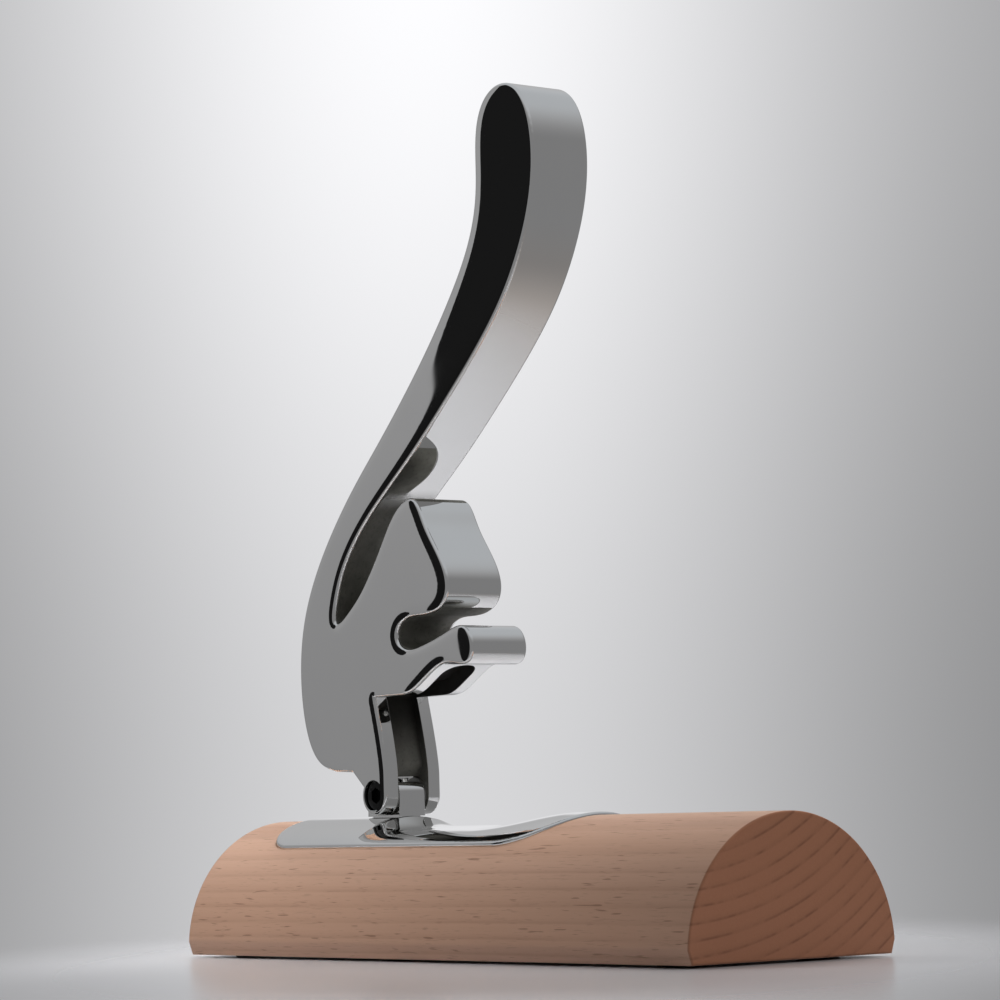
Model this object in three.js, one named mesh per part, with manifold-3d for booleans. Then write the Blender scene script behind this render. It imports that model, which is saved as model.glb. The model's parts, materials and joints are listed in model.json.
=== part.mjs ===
// A lever nutcracker press. A thick polished steel lever stands upright on a steel post and
// is pressed down over a dish. The post stands on a curved steel saddle, which is let into
// the top of a half-round beech base and is held from below.
// Millimetres, +Z up. The origin lies on the surface that it stands on, under the middle of
// the base. +X runs along the base, the way the lever is pressed.
import * as THREE from "three";
import { mergeVertices } from "three/addons/utils/BufferGeometryUtils.js";
import Module from "manifold-3d";

// Shared clearances
const fitGap = 0.3;
const seatLift = 0.05;
const overrun = 2;

// Wooden base
const baseLength = 230;
const baseHeight = 40;
const baseRadius = 38.5;
const baseChamferWidth = 1.3;
const baseChamferHeight = 4;
const baseEndRound = 0.7;

// Rubber feet
const footRadius = 6;
const footThickness = 2.4;
const footProud = 0.8;
const footFromEnd = 18;
const footFromMiddle = 26;

// Steel saddle
const saddleThickness = 1.9;
const saddleProud = 0.9;
const saddleHalfWidth = 26;
const saddleBackReach = 40.3;
const saddleFrontReach = 92.6;
const saddleBackRound = 12;
const saddleBackFlat = 12;
const saddleTaper = 20;
const saddleEdgeRound = 0.9;
const saddleEdgeShares = [0, 0.35, 1];
const saddleTaperShares = [
  [0, 1], [0.15, 0.985], [0.3, 0.95], [0.45, 0.9], [0.59, 0.83], [0.7, 0.745],
  [0.8, 0.645], [0.88, 0.53], [0.94, 0.4], [0.98, 0.28], [1, 0.16],
];

// Nut dish, a dip that is pressed into the saddle in front of the post
const dishDepth = 3.2;
const dishFromPost = 0.3;
const dishEntry = 14;
const dishFloor = 29;
const dishExit = 36;
const dishFlatShare = 0.2;

// Lever
const leverReach = 119;
const leverRise = 207;
const leverThickness = 21.5;
const leverEdgeRound = 1.2;
const lugRadius = 6;
const lugStartTurn = 0.86;
const cheekStraight = 6;
const slotWidth = 11.6;
const webAbovePivot = 5.6;
const webChamfer = 2;
const grooveDepth = 2.6;
const grooveRoof = 4.4;
const grooveReach = 33.6;
const markRadius = 0.9;
const markDepth = 2;
const markAbovePivot = 24.7;
const markInset = 3.5;

// Points of the lever, as shares of its reach forward of the pivot and its rise above it
const backShares = [
  [0.585, 1], [0.536, 0.995], [0.501, 0.979], [0.481, 0.952], [0.472, 0.918], [0.471, 0.881],
  [0.466, 0.842], [0.447, 0.802], [0.415, 0.762], [0.363, 0.717], [0.291, 0.663], [0.207, 0.608],
  [0.114, 0.552], [0.022, 0.5], [-0.069, 0.449], [-0.139, 0.403], [-0.19, 0.366], [-0.229, 0.331],
  [-0.259, 0.299], [-0.282, 0.266], [-0.297, 0.231], [-0.303, 0.194], [-0.302, 0.155],
  [-0.291, 0.117], [-0.271, 0.085], [-0.242, 0.061], [-0.205, 0.044], [-0.162, 0.037],
];
const tailShares = [
  [-0.15, 0.257], [-0.147, 0.278], [-0.129, 0.31], [-0.096, 0.345], [-0.045, 0.38], [0.013, 0.412],
  [0.077, 0.441], [0.145, 0.471], [0.225, 0.507], [0.316, 0.552], [0.408, 0.599], [0.487, 0.643],
  [0.555, 0.686], [0.612, 0.733], [0.652, 0.778], [0.679, 0.818], [0.692, 0.854], [0.697, 0.887],
  [0.692, 0.92], [0.677, 0.951], [0.654, 0.979], [0.624, 0.994],
];
const headShares = [
  [0.269, 0.262], [0.301, 0.271], [0.318, 0.284], [0.32, 0.3], [0.312, 0.318], [0.291, 0.34],
  [0.262, 0.365], [0.235, 0.387], [0.216, 0.407], [0.203, 0.422], [0.182, 0.429], [0.15, 0.425],
  [0.116, 0.412], [0.082, 0.387], [0.042, 0.356], [-0.002, 0.323], [-0.047, 0.293],
  [-0.097, 0.269], [-0.142, 0.254],
];
const mouthShares = [
  [0.302, 0.23], [0.254, 0.221], [0.202, 0.214], [0.158, 0.21], [0.129, 0.212], [0.112, 0.22],
  [0.107, 0.231], [0.115, 0.243], [0.136, 0.251], [0.168, 0.256], [0.218, 0.257],
];
const jawShares = [
  [0.139, 0.145], [0.163, 0.149], [0.19, 0.157], [0.224, 0.167], [0.257, 0.177], [0.286, 0.184],
  [0.316, 0.187], [0.346, 0.185], [0.372, 0.181], [0.394, 0.184], [0.408, 0.193],
  [0.412, 0.206], [0.405, 0.221], [0.392, 0.233], [0.373, 0.239], [0.346, 0.237],
];
const ledgeCornerShare = [0.011, 0.143];
const ledgeEndShare = [0.12, 0.144];
const heelCornerShare = [-0.089, 0.035];

// Hinge
const pivotFromMiddle = 55.4;
const pivotAboveSaddle = 6.4;
const boltRadius = 2.5;
const boltHeadRadius = 4.4;
const boltHeadHeight = 2.2;
const boltHeadSink = 1;
const socketRadius = 2.5;
const socketDepth = 1.7;
const nutSlotWidth = 1.4;
const nutSlotDepth = 0.8;
const thrustWasherRadius = 5.2;

// Post
const postThickness = 9.8;
const postFront = 5.4;
const postRear = 10.6;
const postAbovePivot = 4;
const postTopRound = 3.6;
const stopLength = 5.5;
const tenonFront = 4.6;
const tenonRear = 9.8;
const tenonThickness = 7;
const tenonDepth = 12;

// Fasteners under the base
const screwRadius = 2;
const screwHeadRadius = 3.3;
const screwHeadHeight = 3.6;
const screwSocketRadius = 1.7;
const screwSocketDepth = 2;
const screwSpacing = 8;
const screwBite = 9;
const boltWasherRadius = 3.7;
const boltWasherThickness = 0.8;
const studRadius = 2;
const studFromBack = 11.3;
const studFromFront = 11.7;
const studNutFlats = 7;
const studNutHeight = 3.2;
const studNutCover = 1.5;
const studWasherRadius = 4.5;
const studWasherThickness = 1;
const recessDepth = 12;

// Colours and finishes
const polishedSteel = { color: 0xd6d6d4, roughness: 0.05, metalness: 1 };
const plainSteel = { color: 0xb4b4b2, roughness: 0.3, metalness: 1 };
const beech = { color: 0xb98f70, roughness: 0.55, metalness: 0 };
const blackRubber = { color: 0x1e1e1e, roughness: 0.85, metalness: 0 };

// Places that follow from the sizes
const woodBottom = footProud;
const axisHeight = woodBottom + baseHeight - baseRadius;
const crownRadius = baseRadius + saddleProud;
const crownHeight = axisHeight + crownRadius;
const pivotX = -pivotFromMiddle;
const pivotZ = crownHeight + pivotAboveSaddle;
const saddleBackX = pivotX - saddleBackReach;
const saddleFrontX = pivotX + saddleFrontReach;
const dishStart = pivotX + postFront + dishFromPost;
const dishBottomStart = dishStart + dishEntry;
const dishBottomEnd = dishBottomStart + dishFloor;
const dishEnd = dishBottomEnd + dishExit;
const cheekThickness = (leverThickness - slotWidth) / 2;
const thrustWasherThickness = (slotWidth - postThickness) / 2;
const counterboreDepth = boltHeadSink + boltHeadHeight;
const fastenerSeat = woodBottom + recessDepth;
const tenonBottom = crownHeight - tenonDepth;
const screwMiddle = pivotX + (tenonFront - tenonRear) / 2;
const screwPlaces = [screwMiddle - screwSpacing / 2, screwMiddle + screwSpacing / 2];
const studPlaces = [saddleBackX + studFromBack, saddleFrontX - studFromFront];

// Numbers of facets
const roundSides = 28;
const smallSides = 16;
const woodArcSteps = 40;
const pointsPerLeverSpan = 2;

const wasm = await Module();
wasm.setup();

function solidOf(geometry) {
  const bare = geometry.index ? geometry.toNonIndexed() : geometry.clone();
  bare.deleteAttribute("normal");
  bare.deleteAttribute("uv");
  const merged = mergeVertices(bare, seatLift / 50);
  return new wasm.Manifold(new wasm.Mesh({
    numProp: 3,
    vertProperties: merged.attributes.position.array,
    triVerts: new Uint32Array(merged.index.array),
  }));
}

function geometryOf(solid) {
  const mesh = solid.getMesh();
  const geometry = new THREE.BufferGeometry();
  geometry.setAttribute("position", new THREE.BufferAttribute(new Float32Array(mesh.vertProperties), 3));
  geometry.setIndex(new THREE.BufferAttribute(new Uint32Array(mesh.triVerts), 1));
  geometry.computeVertexNormals();
  return geometry;
}

function cut(body, ...tools) {
  return tools.reduce((left, tool) => left.subtract(tool), body);
}

function join(...bodies) {
  return bodies.reduce((whole, body) => whole.add(body));
}

// A block between two corners
function block(low, high) {
  const size = high.map((value, i) => value - low[i]);
  const middle = high.map((value, i) => (value + low[i]) / 2);
  return solidOf(new THREE.BoxGeometry(...size).translate(...middle));
}

// A round bar that stands upright between two heights
function uprightBar(radius, x, y, low, high, sides = smallSides) {
  const bar = new THREE.CylinderGeometry(radius, radius, high - low, sides);
  return solidOf(bar.rotateX(Math.PI / 2).translate(x, y, (low + high) / 2));
}

// A round bar across the lever, along Y at the pivot
function crossBar(radius, near, far, sides = roundSides) {
  const bar = new THREE.CylinderGeometry(radius, radius, far - near, sides);
  return solidOf(bar.translate(pivotX, (near + far) / 2, pivotZ));
}

// A side outline in X and Z, thickened along Y about the middle plane
function sidePlate(points, thickness, edgeRound = 0) {
  const outline = new THREE.Shape(points.map(([x, z]) => new THREE.Vector2(x, z)));
  const plate = new THREE.ExtrudeGeometry(outline, {
    depth: thickness - 2 * edgeRound,
    bevelEnabled: edgeRound > 0,
    bevelThickness: edgeRound,
    bevelSize: edgeRound,
    bevelOffset: -edgeRound,
    bevelSegments: 2,
  });
  return plate.translate(0, 0, edgeRound - thickness / 2).rotateX(Math.PI / 2);
}

function smoothStep(share) {
  const t = Math.min(1, Math.max(0, share));
  return t * t * (3 - 2 * t);
}

function splinePoints(points, perSpan) {
  const curve = new THREE.SplineCurve(points.map(([x, z]) => new THREE.Vector2(x, z)));
  return curve.getPoints((points.length - 1) * perSpan).map((point) => [point.x, point.y]);
}

// How far the dish lowers the saddle at a place along X and along the curve from its middle
function dishDrop(x, along) {
  const entry = smoothStep((x - dishStart) / dishEntry);
  const exit = smoothStep((dishEnd - x) / dishExit);
  const outward = (Math.abs(along) / saddleHalfWidth - dishFlatShare) / (1 - dishFlatShare);
  const across = Math.cos((Math.PI / 2) * Math.min(1, Math.max(0, outward)));
  return dishDepth * entry * exit * across * across;
}

// Half widths of the saddle along X, the outline let out by grow
function saddleColumns(grow) {
  const backSteps = 6;
  const middleSteps = 20;
  const taperSteps = 12;
  const taperX = saddleFrontX - saddleTaper;
  const roundX = saddleBackX + saddleBackRound;
  const columns = [];
  for (let i = 0; i < backSteps; i += 1) {
    const angle = (Math.PI / 2) * (i / backSteps);
    columns.push({
      x: saddleBackX + saddleBackRound * (1 - Math.cos(angle)) - grow,
      half: saddleBackFlat + (saddleHalfWidth - saddleBackFlat) * Math.sin(angle) + grow,
      toEnd: saddleBackRound * (1 - Math.cos(angle)),
    });
  }
  for (let i = 0; i < middleSteps; i += 1) {
    const share = i / middleSteps;
    columns.push({
      x: roundX + (taperX - roundX) * share + grow * (2 * share - 1),
      half: saddleHalfWidth + grow,
      toEnd: saddleBackRound,
    });
  }
  for (const [share, width] of splinePoints(saddleTaperShares, taperSteps / (saddleTaperShares.length - 1))) {
    columns.push({
      x: taperX + saddleTaper * share + grow,
      half: saddleHalfWidth * width + grow,
      toEnd: saddleTaper * (1 - share),
    });
  }
  return columns;
}

// The curved sheet, or with grow, rise and sink the room that is cut for it
function saddleSheet(grow, rise, sink) {
  const acrossSteps = 12;
  const edgeRows = saddleEdgeShares.map((share) => share * saddleEdgeRound);
  const columns = saddleColumns(grow);
  const rows = 2 * edgeRows.length + acrossSteps - 1;
  const places = [];
  const put = (x, along, radius) => {
    const angle = along / crownRadius;
    places.push(x, radius * Math.sin(angle), axisHeight + radius * Math.cos(angle));
  };
  for (const side of ["top", "bottom"]) {
    for (const { x, half, toEnd } of columns) {
      const edge = Math.min(saddleEdgeRound, half / 3);
      for (let j = 0; j < rows; j += 1) {
        const k = Math.min(j, rows - 1 - j);
        const inFromEdge = k < edgeRows.length
          ? (edgeRows[k] * edge) / saddleEdgeRound
          : edge + ((half - edge) * (k - edgeRows.length + 1)) / ((rows - 1) / 2 - edgeRows.length + 1);
        const along = (j < rows / 2 ? -1 : 1) * (half - inFromEdge);
        const low = Math.max(0, saddleEdgeRound - Math.min(inFromEdge, toEnd));
        const rounding = rise > 0 ? 0 : saddleEdgeRound - Math.sqrt(saddleEdgeRound ** 2 - low ** 2);
        const face = crownRadius - dishDrop(x, along);
        put(x, along, side === "top" ? face + rise - rounding : face - saddleThickness - sink);
      }
    }
  }
  const faces = [];
  const topAt = (i, j) => i * rows + j;
  const bottomAt = (i, j) => columns.length * rows + i * rows + j;
  const quad = (a, b, c, d) => faces.push(a, b, c, a, c, d);
  for (let i = 0; i + 1 < columns.length; i += 1) {
    for (let j = 0; j + 1 < rows; j += 1) {
      quad(topAt(i, j), topAt(i + 1, j), topAt(i + 1, j + 1), topAt(i, j + 1));
      quad(bottomAt(i, j), bottomAt(i, j + 1), bottomAt(i + 1, j + 1), bottomAt(i + 1, j));
    }
    quad(topAt(i, 0), bottomAt(i, 0), bottomAt(i + 1, 0), topAt(i + 1, 0));
    quad(topAt(i, rows - 1), topAt(i + 1, rows - 1), bottomAt(i + 1, rows - 1), bottomAt(i, rows - 1));
  }
  const last = columns.length - 1;
  for (let j = 0; j + 1 < rows; j += 1) {
    quad(topAt(0, j), topAt(0, j + 1), bottomAt(0, j + 1), bottomAt(0, j));
    quad(topAt(last, j), bottomAt(last, j), bottomAt(last, j + 1), topAt(last, j + 1));
  }
  const sheet = new THREE.BufferGeometry();
  sheet.setAttribute("position", new THREE.Float32BufferAttribute(places, 3));
  sheet.setIndex(faces);
  return solidOf(sheet);
}

// The opening for the post's tenon, let out by a gap and running between two heights
function tenonRoom(gap, low, high) {
  return block(
    [pivotX - tenonRear - gap, -tenonThickness / 2 - gap, low],
    [pivotX + tenonFront + gap, tenonThickness / 2 + gap, high],
  );
}

function makeBase() {
  const halfChord = Math.sqrt(baseRadius ** 2 - (axisHeight - woodBottom - baseChamferHeight) ** 2);
  const lowAngle = Math.acos((woodBottom + baseChamferHeight - axisHeight) / baseRadius);
  const section = [[halfChord - baseChamferWidth, woodBottom]];
  for (let i = 0; i <= woodArcSteps; i += 1) {
    const angle = lowAngle * (1 - (2 * i) / woodArcSteps);
    section.push([baseRadius * Math.sin(angle), axisHeight + baseRadius * Math.cos(angle)]);
  }
  section.push([baseChamferWidth - halfChord, woodBottom]);
  const outline = new THREE.Shape(section.map(([y, z]) => new THREE.Vector2(y, z)));
  const log = new THREE.ExtrudeGeometry(outline, {
    depth: baseLength - 2 * baseEndRound,
    bevelThickness: baseEndRound,
    bevelSize: baseEndRound,
    bevelOffset: -baseEndRound,
    bevelSegments: 2,
  });
  log.translate(0, 0, baseEndRound - baseLength / 2);
  log.applyMatrix4(new THREE.Matrix4().makeBasis(
    new THREE.Vector3(0, 1, 0),
    new THREE.Vector3(0, 0, 1),
    new THREE.Vector3(1, 0, 0),
  ));
  const rooms = [saddleSheet(fitGap, overrun + saddleProud + dishDepth, fitGap)];
  rooms.push(tenonRoom(fitGap, tenonBottom - fitGap, crownHeight));
  const slotHalf = boltWasherRadius + fitGap;
  for (const x of screwPlaces) {
    rooms.push(uprightBar(screwRadius + fitGap, x, 0, woodBottom, tenonBottom));
    rooms.push(uprightBar(slotHalf, x, 0, woodBottom - overrun, fastenerSeat));
  }
  rooms.push(block(
    [screwPlaces[0], -slotHalf, woodBottom - overrun],
    [screwPlaces[1], slotHalf, fastenerSeat],
  ));
  for (const x of studPlaces) {
    rooms.push(uprightBar(studRadius + fitGap, x, 0, woodBottom, crownHeight));
    rooms.push(uprightBar(studWasherRadius + fitGap, x, 0, woodBottom - overrun, fastenerSeat));
  }
  for (const [x, y] of footPlaces()) {
    rooms.push(uprightBar(footRadius + fitGap, x, y, woodBottom - overrun, footThickness, roundSides));
  }
  return cut(solidOf(log), ...rooms);
}

function footPlaces() {
  const x = baseLength / 2 - footFromEnd;
  return [[-x, -footFromMiddle], [x, -footFromMiddle], [-x, footFromMiddle], [x, footFromMiddle]];
}

function makeSaddle() {
  const studs = studPlaces.map((x) => uprightBar(
    studRadius, x, 0,
    fastenerSeat - studWasherThickness - studNutHeight - studNutCover,
    crownHeight - saddleThickness / 2,
  ));
  const sheet = cut(saddleSheet(0, 0, 0), tenonRoom(fitGap, tenonBottom, crownHeight + overrun));
  return join(sheet, ...studs);
}

function makePost() {
  const seat = crownHeight + seatLift;
  const front = pivotX + postFront;
  const rear = pivotX - postRear;
  const top = pivotZ + postAbovePivot;
  const stopTop = pivotZ + webAbovePivot - fitGap;
  const profile = [[rear, seat], [front, seat]];
  for (let i = 0; i <= smallSides / 2; i += 1) {
    const angle = (Math.PI / 2) * (i / (smallSides / 2));
    profile.push([
      front - postTopRound * (1 - Math.cos(angle)),
      top - postTopRound * (1 - Math.sin(angle)),
    ]);
  }
  profile.push([rear + stopLength, top], [rear + stopLength, stopTop], [rear, stopTop]);
  const column = solidOf(sidePlate(profile, postThickness));
  const tenon = tenonRoom(0, tenonBottom, seat + overrun);
  const bites = screwPlaces.map((x) => uprightBar(
    screwRadius + fitGap, x, 0, tenonBottom - overrun, tenonBottom + screwBite + fitGap,
  ));
  const bore = crossBar(boltRadius + fitGap, -leverThickness, leverThickness);
  return cut(join(column, tenon), bore, ...bites);
}

function leverPoint([forward, up]) {
  return [pivotX + forward * leverReach, pivotZ + up * leverRise];
}

// The side outline of the lever: lug, cheek edge, ledge, jaw, mouth, head, tail, back and heel
function leverOutline() {
  const points = [[pivotX + lugRadius, pivotZ + cheekStraight]];
  const corner = leverPoint(ledgeCornerShare);
  const cheek = new THREE.QuadraticBezierCurve(
    new THREE.Vector2(...points[0]),
    new THREE.Vector2(pivotX + lugRadius, pivotZ + 2 * cheekStraight),
    new THREE.Vector2(...corner),
  );
  points.push(...cheek.getPoints(smallSides / 2).slice(1).map((point) => [point.x, point.y]));
  points.push(leverPoint(ledgeEndShare));
  const around = [...jawShares, ...mouthShares, ...headShares, ...tailShares, ...backShares];
  points.push(...splinePoints(around.map(leverPoint), pointsPerLeverSpan));
  points.push(leverPoint(heelCornerShare));
  for (let i = 0; i <= smallSides; i += 1) {
    const angle = Math.PI * (lugStartTurn + (2 - lugStartTurn) * (i / smallSides));
    points.push([pivotX + lugRadius * Math.cos(angle), pivotZ + lugRadius * Math.sin(angle)]);
  }
  return points;
}

// The slot: open round the post, a shallow groove up the front edge, a round-ended cut under the jaw
function slotRoom() {
  const webZ = pivotZ + webAbovePivot;
  const cornerX = leverPoint(ledgeCornerShare)[0];
  const ledgeZ = leverPoint(ledgeCornerShare)[1];
  const floorX = pivotX + lugRadius - grooveDepth;
  const underside = jawShares.slice(0, 7).map(leverPoint);
  const roof = underside.map(([x, z]) => [x - grooveRoof / 3, z + grooveRoof]);
  const [lastX, lastZ] = underside[underside.length - 1];
  const profile = [
    [pivotX - lugRadius - overrun * 3, pivotZ - lugRadius - overrun],
    [pivotX + leverReach / 2, pivotZ - lugRadius - overrun],
    [pivotX + leverReach / 2, lastZ + grooveRoof],
    [lastX, lastZ + grooveRoof],
    ...roof.slice(0, -1).reverse(),
    [cornerX - grooveDepth + grooveRoof, ledgeZ + grooveRoof],
    [cornerX - grooveDepth, ledgeZ],
    [floorX, webZ + 2 * webChamfer],
    [floorX - webChamfer / 3, webZ + webChamfer],
    [floorX - webChamfer, webZ],
    [pivotX - lugRadius - overrun * 3, webZ],
  ];
  const inside = solidOf(sidePlate(profile, slotWidth));
  const endX = pivotX + grooveReach;
  const half = slotWidth / 2;
  const plan = new THREE.Shape();
  plan.moveTo(pivotX - leverReach, -half);
  plan.lineTo(endX - half, -half);
  plan.absarc(endX - half, 0, half, -Math.PI / 2, Math.PI / 2, false);
  plan.lineTo(pivotX - leverReach, half);
  const limits = new THREE.ExtrudeGeometry(plan, { depth: leverRise, bevelEnabled: false, curveSegments: 12 });
  return inside.intersect(solidOf(limits));
}

function makeLever() {
  const face = leverThickness / 2;
  const markZ = pivotZ + markAbovePivot;
  const markX = leverPoint(ledgeCornerShare)[0];
  const mark = new THREE.CylinderGeometry(markRadius, markRadius, 2 * (markDepth + overrun), smallSides / 2);
  mark.rotateZ(Math.PI / 2).translate(markX + overrun, markInset - face, markZ);
  return cut(
    solidOf(sidePlate(leverOutline(), leverThickness, leverEdgeRound)),
    slotRoom(),
    crossBar(boltRadius + fitGap, -leverThickness, leverThickness),
    crossBar(boltHeadRadius + fitGap, -leverThickness, counterboreDepth - face),
    crossBar(boltHeadRadius + fitGap, face - counterboreDepth, leverThickness),
    solidOf(mark),
  );
}

// A headed bolt that enters from the near cheek and a slotted round nut in the far one
function makePivotBolt() {
  const face = leverThickness / 2;
  const headTop = boltHeadSink - face;
  const head = crossBar(boltHeadRadius, headTop, headTop + boltHeadHeight);
  const shank = crossBar(boltRadius, headTop + boltHeadHeight / 2, face - boltHeadSink - fitGap);
  const socket = crossBar(socketRadius, headTop - overrun, headTop + socketDepth, 6);
  return cut(join(head, shank), socket);
}

function makePivotNut() {
  const outer = leverThickness / 2 - boltHeadSink;
  const ring = crossBar(boltHeadRadius, outer - boltHeadHeight, outer);
  const slot = block(
    [pivotX - boltHeadRadius - overrun, outer - nutSlotDepth, pivotZ - nutSlotWidth / 2],
    [pivotX + boltHeadRadius + overrun, outer + overrun, pivotZ + nutSlotWidth / 2],
  );
  return cut(ring, crossBar(boltRadius + fitGap, 0, leverThickness), slot);
}

function makeThrustWasher(side) {
  const inner = (side * postThickness) / 2;
  const outer = inner + side * thrustWasherThickness;
  const disc = crossBar(thrustWasherRadius, Math.min(inner, outer), Math.max(inner, outer));
  return cut(disc, crossBar(boltRadius + fitGap, -leverThickness, leverThickness));
}

function makePostScrew(x) {
  const seat = fastenerSeat - boltWasherThickness;
  const head = uprightBar(screwHeadRadius, x, 0, seat - screwHeadHeight, seat);
  const shank = uprightBar(screwRadius, x, 0, seat - screwHeadHeight / 2, tenonBottom + screwBite);
  const socket = uprightBar(
    screwSocketRadius, x, 0, seat - screwHeadHeight - overrun, seat - screwHeadHeight + screwSocketDepth, 6,
  );
  return cut(join(head, shank), socket);
}

function makeWasher(x, radius, thickness, holeRadius) {
  const disc = uprightBar(radius, x, 0, fastenerSeat - thickness, fastenerSeat);
  return cut(disc, uprightBar(holeRadius + fitGap, x, 0, woodBottom, crownHeight));
}

function makeStudNut(x) {
  const top = fastenerSeat - studWasherThickness;
  const hexRadius = studNutFlats / Math.sqrt(3);
  const hex = uprightBar(hexRadius, x, 0, top - studNutHeight, top, 6);
  return cut(hex, uprightBar(studRadius + fitGap, x, 0, woodBottom, crownHeight));
}

const press = new THREE.Group();

function add(name, solid, finish) {
  const mesh = new THREE.Mesh(geometryOf(solid), new THREE.MeshStandardMaterial(finish));
  mesh.name = name;
  press.add(mesh);
}

add("wood_base", makeBase(), beech);
add("steel_saddle", makeSaddle(), polishedSteel);
add("hinge_post", makePost(), polishedSteel);
add("lever", makeLever(), polishedSteel);
add("pivot_bolt", makePivotBolt(), polishedSteel);
add("pivot_nut", makePivotNut(), polishedSteel);
["near", "far"].forEach((end, i) => {
  add(`thrust_washer_${end}`, makeThrustWasher(2 * i - 1), plainSteel);
});
["rear", "front"].forEach((end, i) => {
  add(`post_screw_${end}`, makePostScrew(screwPlaces[i]), plainSteel);
  add(
    `post_washer_${end}`,
    makeWasher(screwPlaces[i], boltWasherRadius, boltWasherThickness, screwRadius),
    plainSteel,
  );
});
["rear", "front"].forEach((end, i) => {
  add(`saddle_nut_${end}`, makeStudNut(studPlaces[i]), plainSteel);
  add(
    `saddle_washer_${end}`,
    makeWasher(studPlaces[i], studWasherRadius, studWasherThickness, studRadius),
    plainSteel,
  );
});
footPlaces().forEach(([x, y], i) => {
  add(`foot_${i + 1}`, uprightBar(footRadius, x, y, 0, footThickness, roundSides), blackRubber);
});

export default press;
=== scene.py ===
"""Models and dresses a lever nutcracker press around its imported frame.

The mirror-polished lever, post and saddle are modelled smoothly, the half-round base is
beech, and everything under it is plain steel and rubber. Lengths are in metres, +Z is up,
and +X runs along the base, the way the lever is pressed.
"""
import json
import math

import bmesh
import bpy
import numpy as np
from bpy.props import FloatProperty, FloatVectorProperty, PointerProperty
from mathutils import Matrix, Vector


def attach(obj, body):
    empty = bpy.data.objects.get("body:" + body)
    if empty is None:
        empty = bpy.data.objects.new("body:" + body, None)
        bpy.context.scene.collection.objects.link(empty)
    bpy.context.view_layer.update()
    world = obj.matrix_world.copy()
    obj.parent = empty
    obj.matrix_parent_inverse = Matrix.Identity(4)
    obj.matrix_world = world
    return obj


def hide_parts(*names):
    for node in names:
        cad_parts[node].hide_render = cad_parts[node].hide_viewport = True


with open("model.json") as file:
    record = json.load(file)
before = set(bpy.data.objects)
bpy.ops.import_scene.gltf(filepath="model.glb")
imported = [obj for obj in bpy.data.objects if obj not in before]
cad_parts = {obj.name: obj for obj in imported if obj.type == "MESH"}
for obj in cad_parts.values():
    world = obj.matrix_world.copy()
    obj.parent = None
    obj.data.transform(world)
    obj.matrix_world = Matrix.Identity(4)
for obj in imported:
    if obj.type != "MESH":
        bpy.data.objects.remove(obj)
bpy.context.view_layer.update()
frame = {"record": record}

bl_info = {
    "name": "Lever Nutcracker Press",
    "version": (1, 0, 0),
    "blender": (4, 5, 0),
    "location": "View3D > Sidebar > Press",
    "description": "Builds a polished steel lever nutcracker press on a half-round beech base",
    "category": "Object",
}

MM = 0.001
PIVOT = Vector(frame["record"]["behaviour"]["joints"][0]["pos_m"])

# Points of the lever, as shares of its reach forward of the pivot and its rise above it
BACK_SHARES = [
    (0.585, 1), (0.536, 0.995), (0.501, 0.979), (0.481, 0.952), (0.472, 0.918), (0.471, 0.881),
    (0.466, 0.842), (0.447, 0.802), (0.415, 0.762), (0.363, 0.717), (0.291, 0.663), (0.207, 0.608),
    (0.114, 0.552), (0.022, 0.5), (-0.069, 0.449), (-0.139, 0.403), (-0.19, 0.366), (-0.229, 0.331),
    (-0.259, 0.299), (-0.282, 0.266), (-0.297, 0.231), (-0.303, 0.194), (-0.302, 0.155),
    (-0.291, 0.117), (-0.271, 0.085), (-0.242, 0.061), (-0.205, 0.044), (-0.162, 0.037),
]
TAIL_SHARES = [
    (-0.15, 0.257), (-0.147, 0.278), (-0.129, 0.31), (-0.096, 0.345), (-0.045, 0.38),
    (0.013, 0.412), (0.077, 0.441), (0.145, 0.471), (0.225, 0.507), (0.316, 0.552),
    (0.408, 0.599), (0.487, 0.643), (0.555, 0.686), (0.612, 0.733), (0.652, 0.778),
    (0.679, 0.818), (0.692, 0.854), (0.697, 0.887), (0.692, 0.92), (0.677, 0.951),
    (0.654, 0.979), (0.624, 0.994),
]
HEAD_SHARES = [
    (0.269, 0.262), (0.301, 0.271), (0.318, 0.284), (0.32, 0.3), (0.312, 0.318), (0.291, 0.34),
    (0.262, 0.365), (0.235, 0.387), (0.216, 0.407), (0.203, 0.422), (0.182, 0.429), (0.15, 0.425),
    (0.116, 0.412), (0.082, 0.387), (0.042, 0.356), (-0.002, 0.323), (-0.047, 0.293),
    (-0.097, 0.269), (-0.142, 0.254),
]
MOUTH_SHARES = [
    (0.302, 0.23), (0.254, 0.221), (0.202, 0.214), (0.158, 0.21), (0.129, 0.212), (0.112, 0.22),
    (0.107, 0.231), (0.115, 0.243), (0.136, 0.251), (0.168, 0.256), (0.218, 0.257),
]
JAW_SHARES = [
    (0.139, 0.145), (0.163, 0.149), (0.19, 0.157), (0.224, 0.167), (0.257, 0.177), (0.286, 0.184),
    (0.316, 0.187), (0.346, 0.185), (0.372, 0.181), (0.394, 0.184), (0.408, 0.193),
    (0.412, 0.206), (0.405, 0.221), (0.392, 0.233), (0.373, 0.239), (0.346, 0.237),
]
LEDGE_CORNER_SHARE = (0.011, 0.143)
LEDGE_END_SHARE = (0.12, 0.144)
HEEL_CORNER_SHARE = (-0.089, 0.035)
FORK_GATE_SHARE = (0.151, 0.451)
SADDLE_TAPER_SHARES = [
    (0, 1), (0.15, 0.985), (0.3, 0.95), (0.45, 0.9), (0.59, 0.83), (0.7, 0.745),
    (0.8, 0.645), (0.88, 0.53), (0.94, 0.4), (0.98, 0.28), (1, 0.16),
]

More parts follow.
